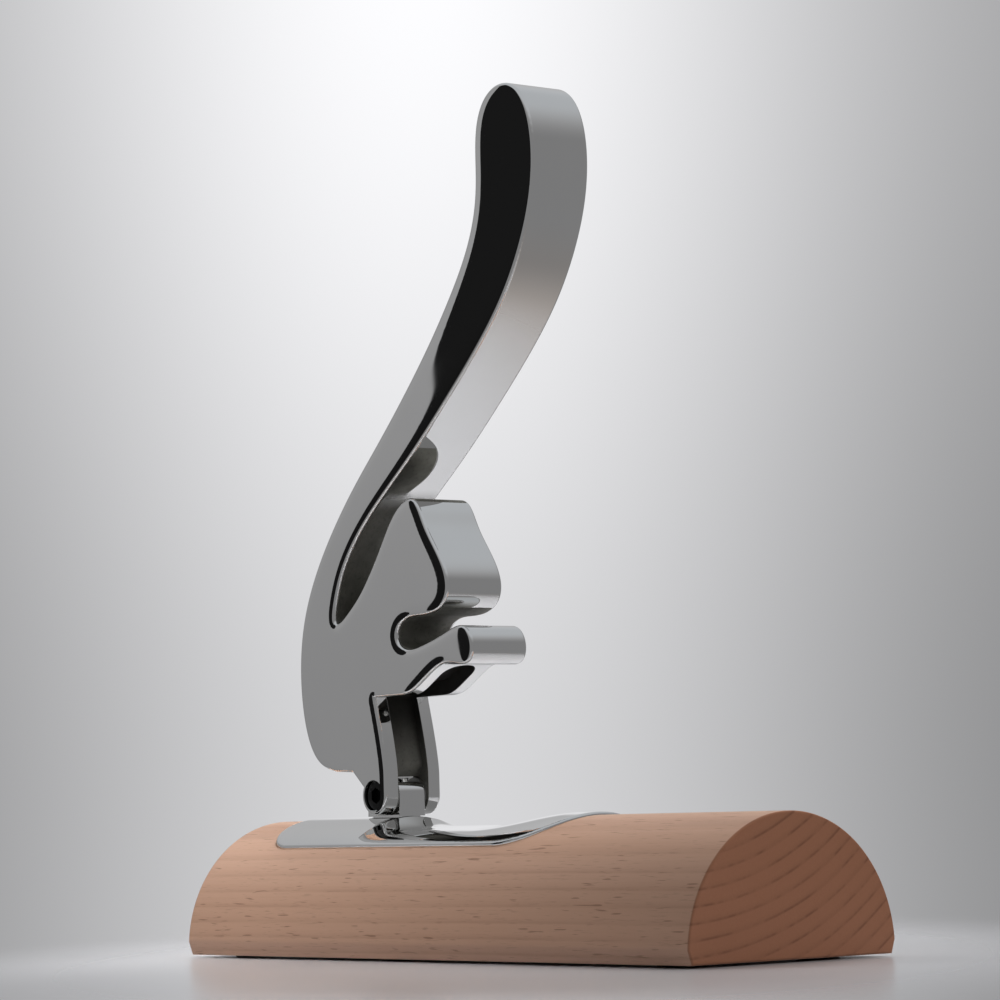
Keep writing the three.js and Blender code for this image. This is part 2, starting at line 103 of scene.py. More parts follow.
# Where the lever's long, calm curves lie, in the same shares
NECK_RISE = 0.33
NECK_FOOT = 0.02
NECK_SLOPE = 1.2
HANDLE_RISE = 0.45
BACK_REACH = -0.17
# The round of the lever's foot starts at this share of a half turn
LUG_START = 0.86
# Steps of outlines and rims, and how many points are worked on at once
OUTLINE_STEP = 0.8 * MM
ROOF_STEP = 1.5 * MM
STRAIGHT_STEP = 2 * MM
TAPER_STEP = 1.2 * MM
RIM_STEP = 0.5 * MM
RIM_EASE = 0.3 * MM
SHEET_FINENESS = 1.2 * MM
ROOM_FINENESS = 2.5 * MM
BATCH = 500
# Only the lever's side faces have more points than this
SIDE_POINTS = 100
# Small shapes
POST_GAP = 0.05 * MM
POST_BEVEL = 0.35 * MM
SPARE = 2 * MM
# Distances and angles too small to matter
TINY = 1e-6
WELD = 1e-7
FLAT = 1e-3
NUDGE = 0.02 * MM
SHARP_DEGREES = 32
# Steel: how rough it is when polished, and the soft edges and slopes of its dull places
MIRROR_ROUGHNESS = 0.008
HAZE_ROUGHNESS = 0.012
MASK_EDGE = 0.05 * MM
FORK_LEAN = 1.5
MOUTH_LEAN = 0.9
# Painted shade in the slot: depths below the groove's top where it begins and where it is full
SLOT_SHADE = (36 * MM, 17 * MM)
# Painted shade: share of the plain steel's colour left on the pivot's bolt, for the shade of its
# recess
BOLT_SHADE = 0.06
# Wood: how far its rings wander, and the depth over which the end grain begins
RING_WANDER = 5 * MM
END_FADE = 0.5 * MM
# World: places in degrees round the press and above the horizon, and directions with widths
DEGREES = 180 / math.pi
BACKDROP_TURN = 128.45
DOME_WIDTH = 6.45
WALL = ((-0.77, 0.63, 0.08), 14)
LOW_GLOW = ((-0.79, -0.60, 0.08), 30)
HIGH_GLOW = ((-0.77, 0.55, 0.35), 26)
OPENING_LEAN = 0.085
OPENING_SHARP = 0.04
OPENING_SOFT = 6
OPENING_TOP = (44, 34)
# Floor: where its fade ends and how far it reaches, as multiples of where the fade starts
FADE_END = 2.5
FLOOR_REACH = 2.6


def number(label, words, value, unit="NONE", **limits):
    """A number property."""
    return FloatProperty(name=label, description=words, default=value, unit=unit, **limits)


def length(label, words, mm):
    """A length property with its default given in millimetres."""
    return number(label, words, mm * MM, "LENGTH", precision=5)


def vector(label, words, value, **kind):
    """A property of several numbers."""
    return FloatVectorProperty(
        name=label, description=words, default=value, size=len(value), **kind)


def colour(label, words, value):
    """A colour property."""
    return vector(label, words, value, subtype="COLOR", min=0, max=1)


class PRESS_PG_lever(bpy.types.PropertyGroup):
    reach: length("Reach", "Length that the forward shares are taken of", 119)
    rise: length("Rise", "Height of the handle's top above the pivot", 207)
    thickness: length("Thickness", "Thickness between the two side faces", 21.5)
    edge_round: length("Edge round", "Rounding where a side face meets the rim", 0.9)
    crown: length("Crown", "How far the side faces fall away toward the rim", 0.28)
    crown_width: length("Crown width", "How far in from the rim the side faces go on falling", 0.85)
    calm_reach: length("Calm reach", "Length over which long curves are evened out", 5.2)
    close_reach: length("Close reach", "Length over which close curves are evened out", 2.6)
    notch_reach: length("Notch reach", "Length over which the fork's foot is evened out", 1.6)
    fineness: length("Fineness", "Size of the facets of the side faces", 0.7)
    lug_radius: length("Lug radius", "Radius of the foot round the pivot", 6)
    cheek_straight: length("Cheek height", "Straight height of the cheeks above the pivot", 6)
    slot_width: length("Slot width", "Width of the slot between the cheeks", 11.6)
    web_height: length("Web height", "Height of the web's underside above the pivot", 5.6)
    web_chamfer: length("Web chamfer", "Bevel on the lower lip of the groove's floor", 2)
    groove_depth: length("Groove depth", "Depth of the groove up the front edge", 2.6)
    groove_roof: length("Groove roof", "Depth of the groove under the jaw", 4.4)
    groove_reach: length("Groove reach", "How far forward of the pivot the groove ends", 33.6)
    fork_half: length("Fork half width", "Half of the width within which the fork is unpolished", 8)
    fork_dull: length("Fork dull depth", "How far up the fork it is unpolished", 48)
    mouth_dull: length("Mouth dull depth", "How far out of the mouth it is unpolished", 13)
    dull_fade: length("Dull fade", "Length over which the unpolished places turn bright", 8)
    mark_radius: length("Mark radius", "Radius of the small recess in the near cheek's front", 0.9)
    mark_depth: length("Mark depth", "Depth of the small recess", 2)
    mark_height: length("Mark height", "Height of the small recess above the pivot", 24.7)
    mark_inset: length("Mark inset", "Distance of the small recess from the near face", 3.5)


class PRESS_PG_hinge(bpy.types.PropertyGroup):
    bore_gap: length("Bore gap", "Clearance round the bolt", 0.3)
    bolt_radius: length("Bolt radius", "Radius of the bolt's shank", 2.5)
    head_radius: length("Head radius", "Radius of the bolt's head", 4.4)
    head_height: length("Head height", "Height of the bolt's head", 2.2)
    head_sink: length("Head sink", "How deep the head lies below the cheek's face", 1)
    socket_radius: length("Socket radius", "Corner radius of the hexagon socket", 2.5)
    socket_depth: length("Socket depth", "Depth of the hexagon socket", 1.7)
    nut_slot_width: length("Nut slot width", "Width of the nut's driver slot", 1.4)
    nut_slot_depth: length("Nut slot depth", "Depth of the nut's driver slot", 0.8)
    washer_radius: length("Washer radius", "Radius of the thrust washers", 5.2)
    post_thickness: length("Post thickness", "Thickness of the post across the lever", 9.8)
    post_front: length("Post front", "Distance from the pivot to the post's front", 5.4)
    post_rear: length("Post rear", "Distance from the pivot to the post's rear", 10.6)
    post_top: length("Post top", "Height of the post's top above the pivot", 4)
    post_round: length("Post round", "Rounding of the post's top front edge", 3.6)
    stop_length: length("Stop length", "Length of the raised stop behind the pivot", 5.5)
    tenon_front: length("Tenon front", "Distance from the pivot to the tenon's front", 4.6)
    tenon_rear: length("Tenon rear", "Distance from the pivot to the tenon's rear", 9.8)
    tenon_thickness: length("Tenon thickness", "Thickness of the tenon", 7)
    tenon_depth: length("Tenon depth", "How far the tenon goes down", 12)


class PRESS_PG_saddle(bpy.types.PropertyGroup):
    thickness: length("Thickness", "Thickness of the sheet", 1.9)
    proud: length("Proud", "How far the sheet stands above the wood", 0.9)
    half_width: length("Half width", "Half of the sheet's width along its curve", 26)
    back_reach: length("Back reach", "Distance from the pivot to the sheet's back end", 40.3)
    front_reach: length("Front reach", "Distance from the pivot to the sheet's tip", 92.6)
    back_round: length("Back round", "Length of the rounded back end", 12)
    back_flat: length("Back flat", "Half width of the flat across the back end", 12)
    taper: length("Taper", "Length of the tapering tip", 20)
    edge_round: length("Edge round", "Rounding of the rim", 0.85)
    dish_depth: length("Dish depth", "Depth of the dish", 3.2)
    dish_gap: length("Dish gap", "Distance from the post to the dish", 0.3)
    dish_entry: length("Dish entry", "Length of the dish's slope beside the post", 14)
    dish_floor: length("Dish floor", "Length of the dish's floor", 29)
    dish_exit: length("Dish exit", "Length of the dish's slope toward the tip", 36)
    dish_flat: number(
        "Dish flat share", "Share of the width over which the dish is full depth",
        0.2, min=0, max=0.9)


class PRESS_PG_base(bpy.types.PropertyGroup):
    length: length("Length", "Length of the wooden base", 230)
    height: length("Height", "Height of the wood", 40)
    radius: length("Radius", "Radius of the rounded top", 38.5)
    chamfer_width: length("Chamfer width", "How far the lower edges are tucked in", 1.3)
    chamfer_height: length("Chamfer height", "Height of the tucked-in lower edges", 4)
    end_round: length("End round", "Rounding round the end faces", 0.7)
    gap: length("Gap", "Clearance round what is let into the wood", 0.3)
    foot_radius: length("Foot radius", "Radius of the rubber feet", 6)
    foot_thickness: length("Foot thickness", "Thickness of the rubber feet", 2.4)
    foot_proud: length("Foot proud", "How far the feet stand below the wood", 0.8)
    foot_from_end: length("Foot from end", "Distance of the feet from the ends", 18)
    foot_from_middle: length("Foot from middle", "Distance of the feet from the middle line", 26)


class PRESS_PG_fasteners(bpy.types.PropertyGroup):
    screw_radius: length("Screw radius", "Radius of the post screws", 2)
    screw_head: length("Screw head radius", "Radius of the screws' heads", 3.3)
    screw_head_height: length("Screw head height", "Height of the screws' heads", 3.6)
    screw_socket: length("Screw socket radius", "Corner radius of the screws' sockets", 1.7)
    screw_socket_depth: length("Screw socket depth", "Depth of the screws' sockets", 2)
    screw_spacing: length("Screw spacing", "Distance between the two post screws", 8)
    screw_bite: length("Screw bite", "How far a screw goes into the tenon", 9)
    screw_washer: length("Screw washer radius", "Radius of the washers under the screws", 3.7)
    screw_washer_thickness: length("Screw washer thickness", "Thickness of those washers", 0.8)
    stud_radius: length("Stud radius", "Radius of the saddle's welded studs", 2)
    stud_back: length("Rear stud", "Distance of the rear stud from the sheet's back end", 11.3)
    stud_front: length("Front stud", "Distance of the front stud from the sheet's tip", 11.7)
    nut_flats: length("Nut flats", "Width of the stud nuts across their flats", 7)
    nut_height: length("Nut height", "Height of the stud nuts", 3.2)
    nut_cover: length("Stud end", "How far a stud stands out of its nut", 1.5)
    nut_washer: length("Stud washer radius", "Radius of the washers under the stud nuts", 4.5)
    nut_washer_thickness: length("Stud washer thickness", "Thickness of those washers", 1)
    recess: length("Recess", "Depth of the recesses in the wood's underside", 12)


class PRESS_PG_finish(bpy.types.PropertyGroup):
    steel: colour("Polished steel", "Reflection colour of the polished steel", (0.80, 0.80, 0.79))
    slot_steel: colour("Slot steel", "Dull steel in the lever's openings", (0.25, 0.245, 0.215))
    fastener: colour("Plain steel", "Colour of the screws, nuts and washers", (0.62, 0.62, 0.61))
    wood_light: colour("Light wood", "Lightest colour of the beech", (0.685, 0.425, 0.297))
    wood_dark: colour("Dark wood", "Colour of the beech's rings", (0.54, 0.305, 0.2))
    fleck: colour("Flecks", "Colour of the short flecks along the grain", (0.22, 0.10, 0.055))
    end_light: colour("End grain", "Colour of the end faces", (0.455, 0.2, 0.11))
    end_dark: colour("End rings", "Colour of the rings on the end faces", (0.22, 0.088, 0.048))
    end_from: length("End grain from", "Distance from the middle where the end grain begins", 114.2)
    ring_width: length("Ring width", "Distance between the wood's rings", 4.4)
    heart: vector(
        "Heart", "Place of the tree's heart across the base and above the floor",
        (-45 * MM, 120 * MM), unit="LENGTH")
    rubber: colour("Rubber", "Colour of the feet", (0.02, 0.02, 0.02))


class PRESS_PG_stage(bpy.types.PropertyGroup):
    floor: colour("Floor", "Colour of the floor", (0.68, 0.68, 0.705))
    floor_fade: length("Floor fade", "Distance at which the floor starts to fade out", 170)
    floor_narrow: number("Floor narrowing", "How much sooner it fades to the left and right", 2)
    plain: number("Plain light", "Strength of the soft light from all round", 0.11)
    overhead: number("Overhead light", "Power of the softbox overhead", 6.5, "POWER")
    left: number("Left light", "Power of the softbox on the left", 0.19, "POWER")
    right: number("Right light", "Power of the softbox on the right", 1, "POWER")
    opening_start: number("Opening start", "Where the dark opening starts, in degrees round", 28)
    opening_end: number("Opening end", "Where the dark opening ends, in degrees round", 50.93)
    pixels: number("Frame", "Width of the photograph's frame in pixels", 1000)
    focal: number("Focal length", "Focal length in pixels of that frame", 3827.9)
    azimuth: number("Azimuth", "Angle of the view round the press", math.radians(50.52), "ROTATION")
    tilt: number("Tilt", "How far the view looks up", math.radians(4.54), "ROTATION")
    roll: number("Roll", "Roll of the camera", math.radians(-1.54), "ROTATION")
    place: vector("Place", "Place of the camera", (0.86591, -0.71701, 0.04457), unit="LENGTH")


def settings(group):
    """One of the press's property groups on the scene."""
    return getattr(bpy.context.scene, f"press_{group}")


def with_sums(kind):
    """Gives a class Python's sums, each made as one math node."""
    sums = {"add": "ADD", "sub": "SUBTRACT", "mul": "MULTIPLY", "truediv": "DIVIDE", "pow": "POWER"}
    for name, operation in sums.items():
        setattr(kind, f"__{name}__", lambda a, b, op=operation: a.graph.math(op, a, b))
        setattr(kind, f"__r{name}__", lambda a, b, op=operation: a.graph.math(op, b, a))
    return kind


@with_sums
class Wire:
    """A shader socket that takes part in Python sums."""

    def __init__(self, graph, socket):
        self.graph = graph
        self.socket = socket


class Graph:
    """A shader tree whose nodes are all made by one method."""

    def __init__(self, tree):
        self.tree = tree
        tree.nodes.clear()

    def node(self, kind, options=None, sockets=None, output=0):
        made = self.tree.nodes.new(kind)
        for key, value in (options or {}).items():
            if key == "stops":
                ramp = made.color_ramp.elements
                while len(ramp) < len(value):
                    ramp.new(0.5)
                for stop, (place, level) in zip(ramp, value):
                    stop.position = place
                    stop.color = (level, level, level, 1)
            else:
                setattr(made, key, value)
        for key, value in (sockets or {}).items():
            if isinstance(value, Wire):
                self.tree.links.new(value.socket, made.inputs[key])
            else:
                made.inputs[key].default_value = value
        return Wire(self, made.outputs[output]) if made.outputs else None

    def math(self, operation, *values):
        return self.node("ShaderNodeMath", {"operation": operation}, dict(enumerate(values)))

    def mix(self, factor, first, second):
        return self.node("ShaderNodeMix", {"data_type": "RGBA"},
                         {0: factor, 6: first, 7: second}, output=2)

    def split(self, vector):
        """The three parts of a vector."""
        parts = self.node("ShaderNodeSeparateXYZ", None, {"Vector": vector}).socket.node
        return [Wire(self, parts.outputs[axis]) for axis in "XYZ"]

    def step(self, value, low, high):
        """A smooth step from 0 at low to 1 at high."""
        return self.node("ShaderNodeMapRange", {"interpolation_type": "SMOOTHSTEP"},
                         {"Value": value, "From Min": low, "From Max": high})

    def place(self, scale=(1, 1, 1), shift=(0, 0, 0)):
        coordinates = self.node("ShaderNodeTexCoord", output=3)
        return self.node("ShaderNodeMapping", {"vector_type": "POINT"},
                         {"Vector": coordinates, "Scale": scale, "Location": shift})

    def noise(self, scale, detail=2, rough=0.5, stretch=(1, 1, 1), shift=(0, 0, 0)):
        return self.node("ShaderNodeTexNoise", {"noise_dimensions": "3D"}, {
            "Vector": self.place(stretch, shift), "Scale": scale,
            "Detail": detail, "Roughness": rough,
        })

    def ramp(self, value, *stops):
        return self.node("ShaderNodeValToRGB", {"stops": stops}, {"Fac": value})

    def bump(self, height, strength, distance):
        return self.node("ShaderNodeBump", None,
                         {"Height": height, "Strength": strength, "Distance": distance})

    def finish(self, sockets):
        shader = self.node("ShaderNodeBsdfPrincipled", None, sockets)
        self.node("ShaderNodeOutputMaterial", None, {"Surface": shader})


def rgba(value, share=1):
    """A colour, or a share of it, with full alpha."""
    return (*(part * share for part in value), 1)


def new_material(name):
    material = bpy.data.materials.new(name)
    material.use_nodes = True
    return material, Graph(material.node_tree)


def shared(name):
    """Makes a material when it is first asked for, and gives the same one afterwards."""
    def wrap(build):
        def find():
            if name not in bpy.data.materials:
                build(new_material(name)[1], settings("finish"))
            return bpy.data.materials[name]
        return find
    return wrap


def mirror(g, look):
    """The faint haze of polished steel, and its colour."""
    haze = g.ramp(g.noise(38, 3, 0.6), (0.35, 0), (0.75, 1))
    return haze, g.mix(haze * 0.25, rgba(look.steel), rgba(look.steel, 0.92))


@shared("polished steel")
def polished_steel(g, look):
    """Mirror-polished steel with the faintest haze and hairlines."""
    haze, bright = mirror(g, look)
    hairs = g.ramp(g.noise(420, 2, 0.5, stretch=(1, 1, 0.06)), (0.58, 0), (0.72, 1))
    g.finish({
        "Base Color": bright,
        "Metallic": 1.0,
        "Roughness": MIRROR_ROUGHNESS + haze * HAZE_ROUGHNESS + hairs * 0.008,
    })


@shared("lever steel")
def lever_steel(g, look):
    """The lever's polished steel, left dull and dark inside its slot, its fork and its mouth, with
    painted shade darkening the slot toward the top of its groove.
    """
    lever = settings("lever")
    x, y, z = g.split(g.place())
    half = lever.slot_width / 2
    beyond = g.math("MAXIMUM", x - (PIVOT.x + lever.groove_reach - half), 0)
    outward = g.math("SQRT", beyond ** 2 + y ** 2)
    rear = lever_spot(LEDGE_CORNER_SHARE)[0] - lever.groove_depth
    top = lever_spot(JAW_SHARES[6])[1] + lever.groove_roof
    slot = g.step(outward, half + 2 * MASK_EDGE, half + MASK_EDGE) \
        * g.step(x, rear - 2 * MASK_EDGE, rear - MASK_EDGE) \
        * g.step(z, top + 2 * MASK_EDGE, top + MASK_EDGE)
    foot, gate = Vector(lever_spot(TAIL_SHARES[0])), Vector(lever_spot(FORK_GATE_SHARE))
    way = (gate - foot).normalized()
    ahead = (x - foot.x) * way.x + (z - foot.y) * way.y
    beside = (x - foot.x) * way.y - (z - foot.y) * way.x
    fork = g.step(g.math("ABSOLUTE", beside), lever.fork_half + MASK_EDGE, lever.fork_half) \
        * g.step(ahead - beside * FORK_LEAN, lever.fork_dull + lever.dull_fade, lever.fork_dull) \
        * g.step(ahead, -lever.fork_half - MASK_EDGE, -lever.fork_half)
    deep = lever_spot(MOUTH_SHARES[6])[0] - MASK_EDGE
    floor = lever_spot(MOUTH_SHARES[3])[1] - lever.edge_round
    roof = lever_spot(HEAD_SHARES[0])[1] + lever.edge_round
    outer = deep + lever.mouth_dull
    mouth = g.step(x, deep - MASK_EDGE, deep) \
        * g.step(x - (z - floor) * MOUTH_LEAN, outer + lever.dull_fade, outer) \
        * g.step(z, floor - MASK_EDGE, floor) * g.step(z, roof + MASK_EDGE, roof)
    rim = lever.thickness / 2 - lever.edge_round
    between = g.step(g.math("ABSOLUTE", y), rim, rim - lever.edge_round / 2)
    inside = g.math("MAXIMUM", slot, g.math("MAXIMUM", fork, mouth) * between)
    haze, bright = mirror(g, look)
    cast = g.noise(260, 4, 0.65)
    pits = g.ramp(g.noise(900, 2, 0.5), (0.55, 0), (0.7, 1))
    dull = g.mix(cast * 0.7 + pits * 0.3, rgba(look.slot_steel), rgba(look.slot_steel, 0.45))
    # Painted shade: the slot's colour darkens toward the top of its groove, under the jaw
    shade = slot * g.step(z, top - SLOT_SHADE[0], top - SLOT_SHADE[1])
    dull = g.mix(shade * 0.92, dull, rgba(look.slot_steel, 0.1))
    rough = 0.45 + cast * 0.3
    g.finish({
        "Base Color": g.mix(inside, bright, dull),
        "Metallic": 1 - inside * 0.45,
        "Roughness": MIRROR_ROUGHNESS + haze * HAZE_ROUGHNESS + inside * rough,
        "Normal": g.bump(cast * inside, 0.5, 0.2 * MM),
    })


def turned_steel(g, tone):
    """Steel turned on a lathe, in a given colour."""
    grain = g.noise(900, 2, 0.6)
    g.finish({
        "Base Color": g.mix(grain * 0.5, rgba(tone), rgba(tone, 0.75)),
        "Metallic": 1.0,
        "Roughness": 0.24 + grain * 0.16,
        "Normal": g.bump(grain, 0.15, 0.1 * MM),
    })


@shared("plain steel")
def plain_steel(g, look):
    """Bright steel of the hidden fasteners."""
    turned_steel(g, look.fastener)


@shared("dark steel")
def shade_painted_steel(g, look):
    """Steel of the pivot's bolt, its colour darkened as painted shade for the bolt's recess."""
    turned_steel(g, [part * BOLT_SHADE for part in look.fastener])


@shared("black rubber")
def black_rubber(g, look):
    """Matt black rubber."""
    grain = g.noise(1500, 3, 0.6)
    g.finish({
        "Base Color": g.mix(grain, rgba(look.rubber), rgba(look.rubber, 1.8)),
        "Roughness": 0.7 + grain * 0.2,
        "Normal": g.bump(grain, 0.3, 0.1 * MM),
    })


@shared("beech wood")
def beech_wood(g, look):
    """Oiled beech: soft rings round a heart below the block, and short dark flecks along it."""
    along, across, up = g.split(g.place())
    end = g.step(g.math("ABSOLUTE", along), look.end_from, look.end_from + END_FADE)
    wander = (g.noise(9, 2, 0.5, stretch=(0.3, 1, 1)) - 0.5) * RING_WANDER
    from_heart = g.math("SQRT", (across - look.heart[0]) ** 2 + (up - look.heart[1]) ** 2)
    ring = g.math("FRACT", (from_heart + wander) / look.ring_width)
    late = g.ramp(ring, (0, 0.15), (0.5, 0.2), (0.82, 1), (0.9, 0.9), (1, 0.15))
    broken = g.ramp(g.noise(150, 2, 0.6, stretch=(0.25, 1, 1)), (0.42, 0), (0.6, 1))
    line = g.ramp(ring, (0.72, 0), (0.84, 1), (0.88, 1), (0.95, 0)) * broken
    fibre = g.noise(900, 3, 0.6, stretch=(0.015, 1, 1))
    patches = g.noise(22, 2, 0.5, stretch=(0.25, 1, 1))
    long_spots = g.noise(1250, 1, 0.4, stretch=(0.09, 1, 1), shift=(0.3, 0, 0))
    fine_spots = g.noise(2600, 1, 0.4, stretch=(0.07, 1, 1), shift=(0.1, 0.2, 0))
    fleck = g.ramp(long_spots, (0.685, 0), (0.75, 1))
    thin = g.ramp(fine_spots, (0.62, 0), (0.72, 1))
    tone = late * 0.35 + fibre * 0.4 + patches * 0.35 - 0.12
    body = g.mix(tone, rgba(look.wood_light), rgba(look.wood_dark))
    flecked = g.mix(fleck * 0.55 + thin * 0.2 + line * 0.1, body, rgba(look.fleck))
    pores = g.noise(1900, 2, 0.6)
    marks = line * 0.48 + late * 0.2 + pores * 0.2
    butt = g.mix(marks, rgba(look.end_light), rgba(look.end_dark))
    g.finish({
        "Base Color": g.mix(end, flecked, butt),
        "Roughness": 0.4 + fibre * 0.14 + fleck * 0.08 + end * 0.12,
        "Normal": g.bump(fibre * 0.5 - fleck * 0.5 - thin * 0.2, 0.25, 0.15 * MM),
    })


def resample(points, step):
    """Points at even steps along a run of points."""
    points = np.asarray(points, float)
    travel = np.r_[0, np.cumsum(np.hypot(*np.diff(points, axis=0).T))]
    count = max(2, int(round(travel[-1] / step)))
    marks = np.linspace(0, travel[-1], count + 1)
    return np.column_stack([np.interp(marks, travel, points[:, i]) for i in range(2)])


def spline(points, per_span=12):
    """A smooth curve through the points."""
    points = np.asarray(points, float)
    padded = np.vstack([2 * points[0] - points[1], points, 2 * points[-1] - points[-2]])
    curve = [points[0]]
    for a, b, c, d in zip(padded, padded[1:], padded[2:], padded[3:]):
        for t in np.arange(1, per_span + 1) / per_span:
            curve.append(0.5 * (2 * b + (c - a) * t + (2 * a - 5 * b + 4 * c - d) * t * t
                                + (3 * b - a - 3 * c + d) * t ** 3))
    return np.array(curve)


def fair(points, trust):
    """Evens out a run of points so that its curve turns steadily, the more the lower the trust."""
    count = len(points)
    third = np.zeros((count - 3, count))
    for i in range(count - 3):
        third[i, i:i + 4] = (-1, 3, -3, 1)
    weight = np.diag(trust)
    return np.linalg.solve(weight + third.T @ third, weight @ points)


def lever_spot(share):
    lever = settings("lever")
    return (PIVOT.x + share[0] * lever.reach, PIVOT.z + share[1] * lever.rise)


def lever_outline():
    """The side outline of the lever as one closed loop in X and Z."""
    lever = settings("lever")
    start = np.array((PIVOT.x + lever.lug_radius, PIVOT.z + lever.cheek_straight))
    knee = np.array((start[0], start[1] + lever.cheek_straight))
    corner = np.array(lever_spot(LEDGE_CORNER_SHARE))
    turns = np.linspace(0, 1, 24)[:, None]
    cheek = (1 - turns) ** 2 * start + 2 * turns * (1 - turns) * knee + turns ** 2 * corner
    ledge = resample([corner, lever_spot(LEDGE_END_SHARE)], OUTLINE_STEP)
    around = [LEDGE_END_SHARE, *JAW_SHARES, *MOUTH_SHARES, *HEAD_SHARES, *TAIL_SHARES, *BACK_SHARES]
    run = resample(spline([lever_spot(share) for share in around]), OUTLINE_STEP)
    rise = (run[:, 1] - PIVOT.z) / lever.rise
    reach = (run[:, 0] - PIVOT.x) / lever.reach
    # The long curves of the back and the handle are evened out more than the close ones
    neck = (rise > NECK_RISE) & (reach < NECK_FOOT + (rise - NECK_RISE) * NECK_SLOPE)
    calm = neck | (rise > HANDLE_RISE) | (rise < NECK_RISE) & (reach < BACK_REACH)
    scale = np.where(calm, lever.calm_reach, lever.close_reach)
    notch = np.hypot(*(run - lever_spot(TAIL_SHARES[0])).T)
    scale = np.where(notch < lever.lug_radius, lever.notch_reach, scale)
    scale[:3] = scale[-3:] = lever.notch_reach / 3
    run = fair(run, (OUTLINE_STEP / scale) ** 6)
    heel = resample([run[-1], lever_spot(HEEL_CORNER_SHARE)], OUTLINE_STEP)
    angles = np.linspace(math.pi * LUG_START, 2 * math.pi, 36)
    centre = (PIVOT.x, PIVOT.z)
    lug = centre + lever.lug_radius * np.column_stack([np.cos(angles), np.sin(angles)])
    side = resample([lever_spot(HEEL_CORNER_SHARE), lug[0]], OUTLINE_STEP)
    front = resample([lug[-1], start], OUTLINE_STEP)
    return np.vstack([cheek, ledge[1:], run[1:], heel[1:], side[1:], lug[1:], front[1:-1]])


def along_axis(axis, amount=1):
    """A vector along one axis."""
    return Vector([amount if i == axis else 0 for i in range(3)])


def prism(points, plane, low, high):
    """A bmesh of a closed outline in the plane named by two axes, thick along the third."""
    bm = bmesh.new()
    bm.faces.layers.int.new("sliced")
    axes = {"xz": (0, 2, 1), "xy": (0, 1, 2), "yz": (1, 2, 0)}[plane]
    verts = []
    for point in points:
        place = [0, 0, 0]
        place[axes[0]], place[axes[1]], place[axes[2]] = point[0], point[1], low
        verts.append(bm.verts.new(place))
    pushed = bmesh.ops.extrude_face_region(bm, geom=[bm.faces.new(verts)])["geom"]
    bmesh.ops.translate(bm, vec=along_axis(axes[2], high - low),
                        verts=[v for v in pushed if isinstance(v, bmesh.types.BMVert)])
    bmesh.ops.recalc_face_normals(bm, faces=bm.faces)
    return bm


def flat_rims(bm, axis, *levels):
    """The edges that bound the faces lying flat at the given levels along an axis."""
    rims = []
    for level in levels:
        for edge in bm.edges:
            near = all(abs(v.co[axis] - level) < TINY for v in edge.verts)
            if near and len(edge.link_faces) == 2:
                lies = [abs(abs(f.normal[axis]) - 1) < FLAT
                        and abs(f.calc_center_median()[axis] - level) < TINY
                        for f in edge.link_faces]
                if lies[0] != lies[1]:
                    rims.append(edge)
    return rims


def bevel(bm, edges, offset, segments):
    bmesh.ops.bevel(bm, geom=list(edges), offset=offset, segments=segments, profile=0.5,
                    affect="EDGES", material=-1, clamp_overlap=False)


def slice_faces(bm, faces, axis, low, high, step):
    """Cuts the faces by parallel planes, so that they can be shaped."""
    tags = bm.faces.layers.int["sliced"]
    for face in faces:
        face[tags] = 1
    count = int((high - low) / step)
    for i in range(1, count + 1):
        place = along_axis(axis, low + (high - low) * (i - 0.5) / count)
        chosen = [f for f in bm.faces if f[tags] == 1]
        geom = set(chosen)
        for f in chosen:
            geom.update(f.edges)
            geom.update(f.verts)
        bmesh.ops.bisect_plane(
            bm, geom=list(geom), plane_co=place, plane_no=along_axis(axis), dist=WELD)


def set_along(bm, axis, place):
    """Turns a bmesh made along Z to another axis, and moves it to its place."""
    turn = {"x": Matrix.Rotation(math.pi / 2, 4, "Y"),
            "y": Matrix.Rotation(-math.pi / 2, 4, "X"), "z": Matrix()}[axis]
    bmesh.ops.transform(bm, matrix=Matrix.Translation(place) @ turn, verts=bm.verts)
    return bm


def rod(radius, axis, centre, low, high, segments=64):
    """A bmesh of a round bar along an axis between two levels."""
    bm = bmesh.new()
    bmesh.ops.create_cone(
        bm, cap_ends=True, segments=segments, radius1=radius, radius2=radius, depth=high - low)
    place = Vector(centre)
    place["xyz".index(axis)] = (low + high) / 2
    return set_along(bm, axis, place)


def turned(profile, axis, centre, steps=72):
    """A bmesh turned round an axis: the profile's points are a radius and a level along it."""
    bm = bmesh.new()
    verts = [bm.verts.new((radius, 0, level)) for radius, level in profile]
    edges = [bm.edges.new(pair) for pair in zip(verts, verts[1:] + verts[:1])]
    bmesh.ops.spin(bm, geom=verts + edges, cent=(0, 0, 0), axis=(0, 0, 1), angle=2 * math.pi,
                   steps=steps, use_merge=True)
    bmesh.ops.remove_doubles(bm, verts=bm.verts, dist=WELD)
    bmesh.ops.recalc_face_normals(bm, faces=bm.faces)
    place = Vector(centre)
    place["xyz".index(axis)] = 0
    return set_along(bm, axis, place)


def brick(low, high):
    """A bmesh of a block between two corners."""
    bm = bmesh.new()
    bmesh.ops.create_cube(bm, size=1)
    low, high = Vector(low), Vector(high)
    matrix = Matrix.Translation((low + high) / 2) @ Matrix.Diagonal((*(high - low), 1))
    bmesh.ops.transform(bm, matrix=matrix, verts=bm.verts)
    return bm


def to_object(name, bm):
    mesh = bpy.data.meshes.new(name)
    bm.to_mesh(mesh)
    bm.free()
    piece = bpy.data.objects.new(name, mesh)
    bpy.context.scene.collection.objects.link(piece)
    return piece


def from_object(piece):
    """Turns a helper piece back into a bmesh."""
    bm = bmesh.new()
    bm.from_mesh(piece.data)
    bpy.data.objects.remove(piece)
    return bm


